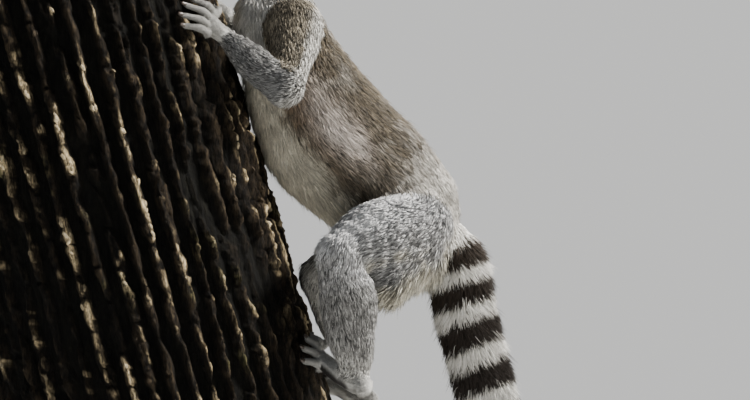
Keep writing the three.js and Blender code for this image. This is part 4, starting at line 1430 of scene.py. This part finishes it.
def makeNose(settings):
    turns, rings = settings["turns"], settings["rings"]
    polar = np.repeat(np.linspace(0, math.pi, rings + 1), turns)
    angle = np.tile(np.arange(turns) / turns * 2 * math.pi, rings + 1)
    sphere = np.stack([np.cos(polar), np.cos(angle) * np.sin(polar), np.sin(angle) * np.sin(polar)], axis=1)
    x, y, z = sphere.T
    size = np.ones(len(sphere))
    for side in (1, -1):
        # a nostril is a comma: a round hole with a slit that curls out and up
        hole = np.hypot((y - 0.42 * side) / 0.19, (z + 0.06) / 0.24)
        slit = np.hypot((y - 0.68 * side) / 0.26, (z + 0.02 - 0.45 * (y * side - 0.5)) / 0.09)
        size -= (0.42 * np.exp(-(hole**3)) + 0.20 * np.exp(-(slit**4))) * (x > -0.1)
    size -= 0.10 * bell(y, 0.06) * ease(-z, -0.35, 0.3) * (x > 0)
    size += 0.05 * ease(z, 0.2, 0.9)
    size += 0.012 * softNoise(sphere * 10, 0.9, 71)
    points = sphere * size[:, None] * np.array(settings["radii"]) + np.array(settings["at"])
    faces = outwardFaces(points, np.array(gridFaces(rings + 1, turns)))
    # each pole is one corner, not a ring of them
    number = np.arange(len(points))
    number[:turns] = 0
    number[rings * turns:] = rings * turns
    faces = number[faces]
    faces = faces[(faces != np.roll(faces, 1, axis=1)).all(axis=1)]
    names, index = np.unique(faces, return_inverse=True)
    tint = np.tile(settings["dark"], (len(names), 1))
    mesh = meshFromArrays("nose", fromHead(points[names]), index.reshape(faces.shape), tint)
    material, tree, shader = newMaterial("noseLeather", {"Roughness": 0.34, "Specular IOR Level": 0.5})
    pebbles = cellNode(tree, objectCoords(tree), 1500.0)
    setInputs(tree, shader, {
        "Base Color": rampNode(tree, pebbles, [(0.1, (0.020, 0.017, 0.017)), (0.7, (0.008, 0.007, 0.007))]),
        "Roughness": rangeNode(tree, pebbles, 0.26, 0.5),
        "Normal": bumpNode(tree, pebbles, 0.35, 0.0004),
    })
    showMesh("noseLeather", mesh, material, "nose_skin", "nose")


makeNose(noseSettings)

nailSettings = {"length": 6.2, "wide": 0.86, "thick": 0.7, "over": 1.8, "rows": 8, "columns": 8}


def makeNails(settings):
    rows, columns = settings["rows"], settings["columns"]
    top = gridFaces(rows, columns, loop=False)
    under = [(c + rows * columns, b + rows * columns, a + rows * columns) for a, b, c in top]
    border = [*range(columns - 1)]
    border += [columns - 1 + row * columns for row in range(rows - 1)]
    border += [rows * columns - 1 - i for i in range(columns - 1)]
    border += [(rows - 1 - row) * columns for row in range(rows - 1)]
    rim = []
    for here, there in zip(border, border[1:] + border[:1]):
        low, lowNext = here + rows * columns, there + rows * columns
        rim += [(there, here, low), (there, low, lowNext)]
    pattern = np.array(top + under + rim)
    allPoints, allFaces = [], []
    digits = [
        (kind, number, chain) for side in ("left", "right") for kind in ("Hand", "Foot")
        for number, chain in enumerate(makeDigits(side, kind))
    ]
    for kind, number, chain in digits:
        path = chain["path"] / chain["squash"]
        tip, heading = path[-1], unit(path[-1] - path[-2])
        offset = tip - trunkMiddle
        out = unit(offset - trunkAxis * (offset @ trunkAxis))
        claw = kind == "Foot" and number == 1  # the grooming claw stands up
        out = unit(out - heading * (out @ heading))
        heading = unit(heading + out * (0.75 if claw else -0.12))
        out = unit(out - heading * (out @ heading))
        across = np.cross(heading, out)
        radius = chain["sizes"][-2] * settings["wide"]
        length = settings["length"] * (1.15 if claw else 1) * (1.25 if number == 0 else 1)
        half = radius * (0.55 if claw else (1.15 if number == 0 else 1.0))
        start = len(allPoints)
        for layer in (1, 0):
            for row in range(rows):
                s = row / (rows - 1)
                taper = 1.02 - 0.9 * s if claw else math.sqrt(max(1 - (max(s - 0.55, 0) / 0.5) ** 2, 0.02))
                for column in range(columns):
                    t = column / (columns - 1) * 2 - 1
                    rise = radius * (math.sqrt(max(1 - (0.9 * t) ** 2, 0)) - 0.28)
                    rise += (-0.10 if claw else -0.35) * radius * s * s + layer * settings["thick"]
                    reach = length * (s - 1) + settings["over"] + chain["sizes"][-1]
                    allPoints.append(tip + heading * reach + across * (half * taper * t) + out * rise)
        allFaces.append(outwardFaces(np.array(allPoints[start:]), pattern) + start)
    mesh = meshFromArrays("nails", np.array(allPoints), np.concatenate(allFaces))
    material, tree, shader = newMaterial("nailHorn", {"Roughness": 0.3, "Coat Weight": 0.3})
    streaks = noiseNode(tree, objectCoords(tree), 700.0, 3.0)
    tint = rampNode(tree, streaks, [(0.3, (0.022, 0.016, 0.013)), (0.7, (0.070, 0.050, 0.038))])
    setInputs(tree, shader, {"Base Color": tint, "Normal": bumpNode(tree, streaks, 0.2, 0.0003)})
    showMesh("nails", mesh, material, "nose_skin")


makeNails(nailSettings)
print("eyes, nose and nails made")

# geometry trees: their inputs are set by identifier, and the result is made a plain mesh


def geometryTree(name, inputs):
    inputs = [("Geometry", "Geometry", None), *inputs]
    return makeTree(name, "GeometryNodeTree", inputs, [("Geometry", "Geometry")])


def finishTree(tree, given, out, geometry):
    real = addNode(tree, "GeometryNodeRealizeInstances", {"Geometry": geometry})
    values = {"Geometry": real.outputs[0], "Material": given.outputs["Material"]}
    finish = addNode(tree, "GeometryNodeSetMaterial", values)
    setInputs(tree, out, {0: finish.outputs[0]})


def runTree(name, mesh, tree, values):
    holder = linkObject(name + "Seed", mesh)
    modifier = holder.modifiers.new("tree", "NODES")
    modifier.node_group = tree
    for item in tree.interface.items_tree:
        if item.item_type == "SOCKET" and item.in_out == "INPUT" and item.name in values:
            modifier[item.identifier] = values[item.name]
    bpy.context.view_layer.update()
    made = bpy.data.meshes.new_from_object(holder.evaluated_get(bpy.context.evaluated_depsgraph_get()))
    made.name = name
    holder.modifiers.remove(modifier)
    bpy.data.objects.remove(holder)
    return linkObject(name, made)


whiskerSettings = {"seed": 5, "length": 34.0, "steps": 9, "root": 0.00022, "tint": (0.05, 0.045, 0.04)}


def makeWhiskers(settings):
    rng = np.random.default_rng(settings["seed"])
    points, edges = [], []
    spots = []
    for side in (1, -1):
        for row in range(3):
            for column in range(4):
                spots.append(((47 - column * 4.4, side * (6.6 + column * 1.1), -13.5 + row * 3.4), side, 1.0))
        for brow in range(3):
            spots.append(((16 + brow * 3, side * (9 + brow * 2), 16.5 - brow), side, 0.7))
    for (x, y, z), side, scale in spots:
        length = settings["length"] * scale * (0.75 + 0.4 * rng.random())
        heading = unit(np.array([0.25 + 0.3 * rng.random(), side * 1.0, 0.12 + 0.35 * (z + 10) / 10]))
        if scale < 1:
            heading = unit(np.array([0.2, side * 0.5, 1.0]))
        first, steps = len(points), settings["steps"]
        for step in range(steps):
            t = step / (steps - 1)
            sag = np.array([-0.30, 0, -0.22]) * t * t
            points.append(np.array([x, y, z]) + (heading * t + sag) * length)
        edges += [(first + step, first + step + 1) for step in range(steps - 1)]
    mesh = bpy.data.meshes.new("whiskerLines")
    mesh.from_pydata([tuple(p) for p in fromHead(np.array(points)) * mm], edges, [])
    inputs = [("Root radius", "Float", 0.0002), ("Material", "Material", None)]
    tree, given, out = geometryTree("whiskerTree", inputs)
    curve = addNode(tree, "GeometryNodeMeshToCurve", {"Mesh": given.outputs["Geometry"]})
    along = addNode(tree, "GeometryNodeSplineParameter").outputs["Factor"]
    radius = mathNode(tree, "MULTIPLY", rangeNode(tree, along, 1.0, 0.12), given.outputs["Root radius"])
    sized = addNode(tree, "GeometryNodeSetCurveRadius", {"Curve": curve.outputs[0], "Radius": radius})
    profile = addNode(tree, "GeometryNodeCurvePrimitiveCircle", {"Resolution": 5, "Radius": 1.0})
    tube = addNode(tree, "GeometryNodeCurveToMesh", {
        "Curve": sized.outputs[0], "Profile Curve": profile.outputs[0], "Fill Caps": True, "Scale": radius,
    })
    finishTree(tree, given, out, tube.outputs[0])
    material, nodes, shader = newMaterial("whiskerHair", {"Roughness": 0.4})
    pale = tuple(value * 3 for value in settings["tint"])
    grain = noiseNode(nodes, objectCoords(nodes), 300.0)
    setInputs(nodes, shader, {"Base Color": rampNode(nodes, grain, [(0.3, settings["tint"]), (0.7, pale)])})
    values = {"Root radius": settings["root"], "Material": material}
    dressPiece(runTree("whiskers", mesh, tree, values), "nose_skin")


makeWhiskers(whiskerSettings)
print("whiskers made")

# the length of trunk: furrowed bark, with its two sawn ends

barkSettings = {
    "ridges": 48, "depth": 13.0, "around": 440, "along": 200,
    # furrow, flank and crest: darker bark the deeper it lies, made near black by painted shade
    "furrow": (0.003, 0.003, 0.002), "flank": (0.014, 0.011, 0.008), "crest": (0.040, 0.031, 0.021),
    # the next cream is a painted highlight on the ridge shoulders that face the light, over paler weathered
    # bark
    "wearAndHighlight": (0.560, 0.485, 0.340), "lichen": (0.110, 0.120, 0.060),
    "wood": (0.400, 0.270, 0.150), "heart": (0.210, 0.120, 0.060), "rind": (148.0, 153.0),
    "endRings": (0.985, 0.95, 0.90, 0.86, 0.84, 0.80, 0.70, 0.58, 0.44, 0.28, 0.12),
}


def barkShape(angle, along, settings):
    radius = trunkSettings["radius"]
    place = np.stack([np.cos(angle) * radius, np.sin(angle) * radius, along / 7.0], axis=1)
    warp = layeredNoise(place, 80.0, 51)
    braid = layeredNoise(place, 34.0, 52)
    ragged = layeredNoise(place * np.array([1, 1, 2.6]), 9.0, 58)
    phase = angle * settings["ridges"] + 4.0 * warp + 1.3 * ragged
    swell = np.cos(phase) + 0.8 * braid
    ridge = ease(swell, -0.10, 0.65)
    rough = layeredNoise(place * np.array([1, 1, 3.2]), 9.0, 53)
    fine = layeredNoise(place * np.array([1, 1, 5.0]), 4.5, 54, 2)
    crack = bell(softNoise(place * np.array([1, 1, 4.6]), 22.0, 55), 0.10)
    plates = np.floor(2.4 * (rough + 1)) / 2.4 - 1
    # where a ridge has crumbled
    broken = ease(layeredNoise(place * np.array([1, 1, 1.6]), 26.0, 57), 0.05, 0.5)
    off = -settings["depth"] * (1 - ridge * (1 - 0.6 * broken))
    off += (0.4 + 0.6 * ridge) * (2.8 * plates + 2.0 * rough + 2.8 * fine) - 5.0 * crack * ridge
    off += 2.2 * (ease(swell, 0.5, 1.6) - 0.5) - 1.6
    # the shoulder of each ridge that looks away from the trunk's shaded side, where the painted highlight
    # goes
    shoulder = ease(np.cos(phase + 0.8 * np.sign(np.sin(angle))), 0.25, 0.8)
    return np.minimum(off, 2.0), rough, shoulder


def capEnd(points, ring, top, settings):
    # a sawn end: rings of wood inside the bark, down to one corner at the heart
    around = len(ring)
    start, before = len(points), ring
    centre = points[ring].mean(axis=0)
    rows, tints, faces = [], [], []
    for number, level in enumerate(settings["endRings"]):
        place = centre + (points[ring] - centre) * level
        split = bell(softNoise(place, 16.0, 65), 0.06)
        lift = 0.8 * np.cos(level * 60 + 2 * softNoise(place, 40.0, 66)) - 1.2 * split * (0.2 + level)
        place = place + trunkAxis * ((lift - 0.8) * 0.5 * top)[:, None]
        grown = 0.5 + 0.5 * np.cos(level * 95 + 3 * softNoise(place, 55.0, 67))
        wood = blendTo(settings["heart"], settings["wood"], ease(level, 0.25, 0.6) * np.ones(around))
        wood = wood * (0.72 + 0.28 * grown)[:, None]
        rind = ease(np.linalg.norm(place - centre, axis=1), *settings["rind"])
        tints.append(blendTo(wood, np.array(settings["flank"]) * 1.3, rind))
        rows.append(place)
        fresh = start + number * around + np.arange(around)
        faces.append(np.stack([before, np.roll(before, -1), np.roll(fresh, -1)], axis=1))
        faces.append(np.stack([before, np.roll(fresh, -1), fresh], axis=1))
        before = fresh
    rows.append(centre[None])
    tints.append(np.array([settings["heart"]]) * 0.7)
    hub = start + len(settings["endRings"]) * around
    faces.append(np.stack([before, np.roll(before, -1), np.full(around, hub)], axis=1))
    faces = np.concatenate(faces)
    return np.vstack(rows), np.vstack(tints), faces if top else faces[:, ::-1]


def makeTrunk(settings):
    around, rows = settings["around"], settings["along"]
    angle = np.tile(np.arange(around) / around * 2 * math.pi, rows)
    part = np.repeat(np.linspace(0, 1, rows), around)
    lean, radius = trunkSettings["lean"], trunkSettings["radius"]

    def trunkLine(drop):
        # the lower end is level with the floor and the upper end is square to the trunk
        lowest = (trunkSettings["foot"] - trunkMiddle[2] - drop) / math.cos(lean)
        return lowest + (trunkSettings["top"] - lowest) * part

    along = trunkLine(radius * np.cos(angle) * math.sin(lean))
    off, rough, shoulder = barkShape(angle, along, settings)
    nearEnd = np.minimum(part, 1 - part) * 540
    off -= 2.0 * np.exp(-nearEnd / 1.5)
    along = trunkLine((radius + off) * np.cos(angle) * math.sin(lean))
    points = onTrunk(along, np.degrees(angle), off)
    place = np.stack([np.cos(angle) * radius, np.sin(angle) * radius, along], axis=1)
    # painted shade: the bark turns near black down into the furrows and along the flanks, and is lightest on
    # the crests
    tint = blendTo(settings["furrow"], settings["flank"], ease(off, -14, -6))
    tint = blendTo(tint, settings["crest"], ease(off, -7.5, 0.6))
    # a painted highlight: pale cream on the crest shoulders that face the light, in patches, over paler
    # weathered bark
    patchy = ease(layeredNoise(place * np.array([1, 1, 0.22]), 16.0, 64) + 0.42 * rough, 0.02, 0.30)
    wearAndHighlight = ease(off + 2.2 * rough, -5.0, -1.0) * patchy * shoulder
    tint = blendTo(tint, settings["wearAndHighlight"], 0.95 * wearAndHighlight)
    lichen = ease(layeredNoise(place, 48.0, 63) + 0.3 * rough, 0.36, 0.62) * ease(off, -6, -1)
    tint = blendTo(tint, settings["lichen"], 0.45 * lichen)
    tint = tint * (1 + 0.25 * layeredNoise(place, 30.0, 61))[:, None]
    index = np.arange(rows * around).reshape(rows, around)
    a, b = index[:-1], np.roll(index, -1, axis=1)[:-1]
    c, d = np.roll(index, -1, axis=1)[1:], index[1:]
    faces = np.concatenate([np.stack(face, axis=-1).reshape(-1, 3) for face in ((a, b, c), (a, c, d))])
    sides = len(faces)
    for top, ring in ((False, index[0]), (True, index[-1])):
        morePoints, moreTint, moreFaces = capEnd(points, ring, top, settings)
        points = np.vstack([points, morePoints])
        tint = np.vstack([tint, moreTint])
        faces = np.vstack([faces, moreFaces])
    faces = outwardFaces(points, faces)
    crest = np.zeros(len(points))
    crest[:rows * around] = ease(off, -5, 0.5) * (0.25 + 0.75 * wearAndHighlight) * (part > 0.02) * (part < 0.985)
    mesh = meshFromArrays("trunk", points, faces, tint, None, {"crest": crest})
    mesh.materials.append(barkMaterial())
    mesh.polygons.foreach_set("material_index", (np.arange(len(faces)) >= sides).astype(np.int32))
    stops = [(0.3, (0.7, 0.68, 0.66)), (0.7, 1.2)]
    sawn = grainMaterial("endGrain", {"Roughness": 0.75}, (220.0, 5.0, 0.6), stops, (0.4, 0.0012))
    showMesh("trunk", mesh, sawn, "bark", "perch_trunk")
    return mesh


def barkMaterial():
    material, tree, shader = newMaterial("barkFurrowed", {"Roughness": 0.9, "Specular IOR Level": 0.25})
    fibres = stretchNode(tree, (1.0, 1.0, 0.30), trunkSettings["lean"])
    grain = noiseNode(tree, fibres, 240.0, 6.0, 0.7)
    flecks = noiseNode(tree, fibres, 210.0, 8.0, 0.78)
    gain = rampNode(tree, grain, [(0.32, (0.30, 0.29, 0.28)), (0.68, (1.80, 1.72, 1.6))])
    spots = rampNode(tree, flecks, [(0.43, (0.16, 0.15, 0.14)), (0.57, (1.9, 1.82, 1.65))])
    tint = multiplyColours(tree, multiplyColours(tree, pointTint(tree), gain), spots)
    shallow = bumpNode(tree, grain, 0.9, 0.005)
    cracked = bumpNode(tree, cellNode(tree, fibres, 150.0), 0.8, 0.006, shallow)
    setInputs(tree, shader, {"Base Color": tint, "Normal": bumpNode(tree, flecks, 0.9, 0.008, cracked)})
    return material


def grainMaterial(name, values, noise, stops, bump):
    # the tint at each point, made lighter and darker by a fine grain that also roughens it
    material, tree, shader = newMaterial(name, values)
    grain = noiseNode(tree, objectCoords(tree), *noise)
    tint = multiplyColours(tree, pointTint(tree), rampNode(tree, grain, stops))
    setInputs(tree, shader, {"Base Color": tint, "Normal": bumpNode(tree, grain, *bump)})
    return material


flakeSettings = {"density": 21000.0, "size": 0.0024, "seed": 12}


def randomNode(tree, kind, socketType, low, high, seed):
    node = addNode(tree, "FunctionNodeRandomValue", {"Seed": seed}, data_type=kind)
    for socket in node.inputs:
        if socket.type == socketType and socket.name in ("Min", "Max"):
            socket.default_value = low if socket.name == "Min" else high
    return node


def makeFlakes(trunkMesh, settings):
    # loose scales of bark on the crests of the ridges
    inputs = [("Density", "Float", 1000.0), ("Flake size", "Float", 0.004), ("Seed", "Int", 0),
              ("Material", "Material", None)]
    tree, given, out = geometryTree("flakeTree", inputs)
    crest = addNode(tree, "GeometryNodeInputNamedAttribute", {"Name": "crest"}, data_type="FLOAT")
    amount = mathNode(tree, "MULTIPLY", crest.outputs["Attribute"], given.outputs["Density"])
    spread = addNode(tree, "GeometryNodeDistributePointsOnFaces", {
        "Mesh": given.outputs["Geometry"], "Density": amount, "Seed": given.outputs["Seed"],
    })
    scale = addNode(tree, "GeometryNodeMeshCone", {
        "Vertices": 5, "Radius Top": 0.62, "Radius Bottom": 1.0, "Depth": 0.42,
    })
    flat = addNode(tree, "GeometryNodeTransform", {"Geometry": scale.outputs[0], "Scale": (0.72, 1.45, 1.0)})
    values = {"Rotation": spread.outputs["Rotation"], "Vector": tuple(trunkAxis)}
    facing = addNode(tree, "FunctionNodeAlignRotationToVector", values, axis="Y", pivot_axis="Z")
    size = randomNode(tree, "FLOAT", "VALUE", 0.45, 1.5, 3).outputs[1]
    placed = addNode(tree, "GeometryNodeInstanceOnPoints", {
        "Points": spread.outputs["Points"], "Instance": flat.outputs[0], "Rotation": facing.outputs[0],
        "Scale": mathNode(tree, "MULTIPLY", size, given.outputs["Flake size"]),
    })
    turn = randomNode(tree, "FLOAT_VECTOR", "VECTOR", (-0.35, -0.45, -0.6), (0.35, 0.45, 0.6), 8).outputs[0]
    tilted = addNode(tree, "GeometryNodeRotateInstances", {"Instances": placed.outputs[0], "Rotation": turn})
    finishTree(tree, given, out, tilted.outputs[0])
    look = {"Roughness": 0.9, "Specular IOR Level": 0.25}
    stops = [(0.3, 0.5), (0.7, (1.9, 1.8, 1.6))]
    material = grainMaterial("barkFlake", look, (300.0, 4.0, 0.6), stops, (0.5, 0.001))
    values = {"Density": settings["density"], "Flake size": settings["size"], "Seed": settings["seed"],
              "Material": material}
    piece = runTree("barkFlakes", trunkMesh.copy(), tree, values)
    if "crest" in piece.data.attributes:
        piece.data.attributes.remove(piece.data.attributes["crest"])
    print("bark flakes:", len(piece.data.polygons), "faces")
    dressPiece(piece, "bark")


trunkMesh = makeTrunk(barkSettings)
makeFlakes(trunkMesh, flakeSettings)
print("trunk made:", len(trunkMesh.polygons), "faces")

# the stand: painted base, brushed plate and rods, and a bolted collar where each rod meets the base

collarSettings = {
    "middle": (0.038, 0.0, 0.0267), "rodGap": 0.150, "bolts": 4, "ring": 0.0196, "wall": 0.0122,
    "height": 0.005, "bolt": 0.0033, "boltHead": 0.003, "sunk": 0.0003,
    "steel": (0.46, 0.46, 0.47), "paint": (0.022, 0.022, 0.024),
}


def steelMaterial(name, tint, stretch):
    material, tree, shader = newMaterial(name, {"Metallic": 1.0, "Roughness": 0.36})
    lines = noiseNode(tree, stretchNode(tree, stretch), 900.0, 3.0, 0.6)
    wear = noiseNode(tree, objectCoords(tree), 14.0, 4.0, 0.6)
    low, high = tuple(0.82 * value for value in tint), tuple(1.1 * value for value in tint)
    setInputs(tree, shader, {
        "Base Color": rampNode(tree, lines, [(0.35, low), (0.65, high)]),
        "Roughness": rampNode(tree, wear, [(0.35, 0.30), (0.70, 0.46)]),
        "Normal": bumpNode(tree, lines, 0.25, 0.0004),
    })
    return material


def paintMaterial(tint):
    material, tree, shader = newMaterial("standPaint", {"Roughness": 0.42})
    coords = objectCoords(tree)
    dust = noiseNode(tree, coords, 9.0, 5.0, 0.6)
    soft = tuple(1.7 * value for value in tint)
    setInputs(tree, shader, {
        "Base Color": rampNode(tree, dust, [(0.4, tint), (0.75, soft)]),
        "Roughness": rampNode(tree, dust, [(0.3, 0.34), (0.7, 0.52)]),
        "Normal": bumpNode(tree, noiseNode(tree, coords, 520.0, 2.0, 0.5), 0.12, 0.0006),
    })
    return material


def makeCollars(material, settings):
    inputs = [("Rod gap", "Float", 0.1), ("Bolts", "Int", 4), ("Material", "Material", None)]
    tree, given, out = geometryTree("collarTree", inputs)

    def make(kind, values):
        return addNode(tree, "GeometryNode" + kind, values).outputs[0]

    ring, bolt = settings["ring"], settings["bolt"]
    loop = make("CurvePrimitiveCircle", {"Resolution": 48, "Radius": ring})
    section = make("CurvePrimitiveQuadrilateral", {"Width": settings["wall"], "Height": settings["height"]})
    band = make("CurveToMesh", {"Curve": loop, "Profile Curve": section})
    spots = make("MeshCircle", {"Vertices": given.outputs["Bolts"], "Radius": ring})
    hexagon = make("MeshCylinder", {"Vertices": 6, "Radius": bolt, "Depth": settings["boltHead"]})
    rise = (settings["height"] + settings["boltHead"]) / 2 - settings["sunk"]
    raised = make("Transform", {"Geometry": hexagon, "Translation": (0, 0, rise)})
    bolts = make("InstanceOnPoints", {"Points": spots, "Instance": raised})
    collar = addNode(tree, "GeometryNodeJoinGeometry")
    for part in (band, bolts):
        tree.links.new(part, collar.inputs[0])
    across = addNode(tree, "ShaderNodeCombineXYZ", {"X": given.outputs["Rod gap"]})
    rods = make("MeshLine", {"Count": 2, "Offset": across.outputs[0]})
    both = make("InstanceOnPoints", {"Points": rods, "Instance": collar.outputs[0]})
    x, y, z = settings["middle"]
    start = (x - settings["rodGap"] / 2, y, z)
    finishTree(tree, given, out, make("Transform", {"Geometry": both, "Translation": start}))
    values = {"Rod gap": settings["rodGap"], "Bolts": settings["bolts"], "Material": material}
    piece = runTree("standCollars", bpy.data.meshes.new("collarSeed"), tree, values)
    dressPiece(piece, "stand_steel")


brushedAlong = steelMaterial("standRodSteel", collarSettings["steel"], (1.0, 1.0, 0.04))
brushedAcross = steelMaterial("standPlateSteel", collarSettings["steel"], (0.04, 1.0, 1.0))
standFinish = {
    "stand_base": paintMaterial(collarSettings["paint"]), "stand_plate": brushedAcross,
    "stand_rod_1": brushedAlong, "stand_rod_2": brushedAlong,
}
for nodeName, finish in standFinish.items():
    for holder in bpy.data.objects[nodeName].material_slots:
        holder.material = finish
makeCollars(brushedAcross, collarSettings)
print("stand dressed")
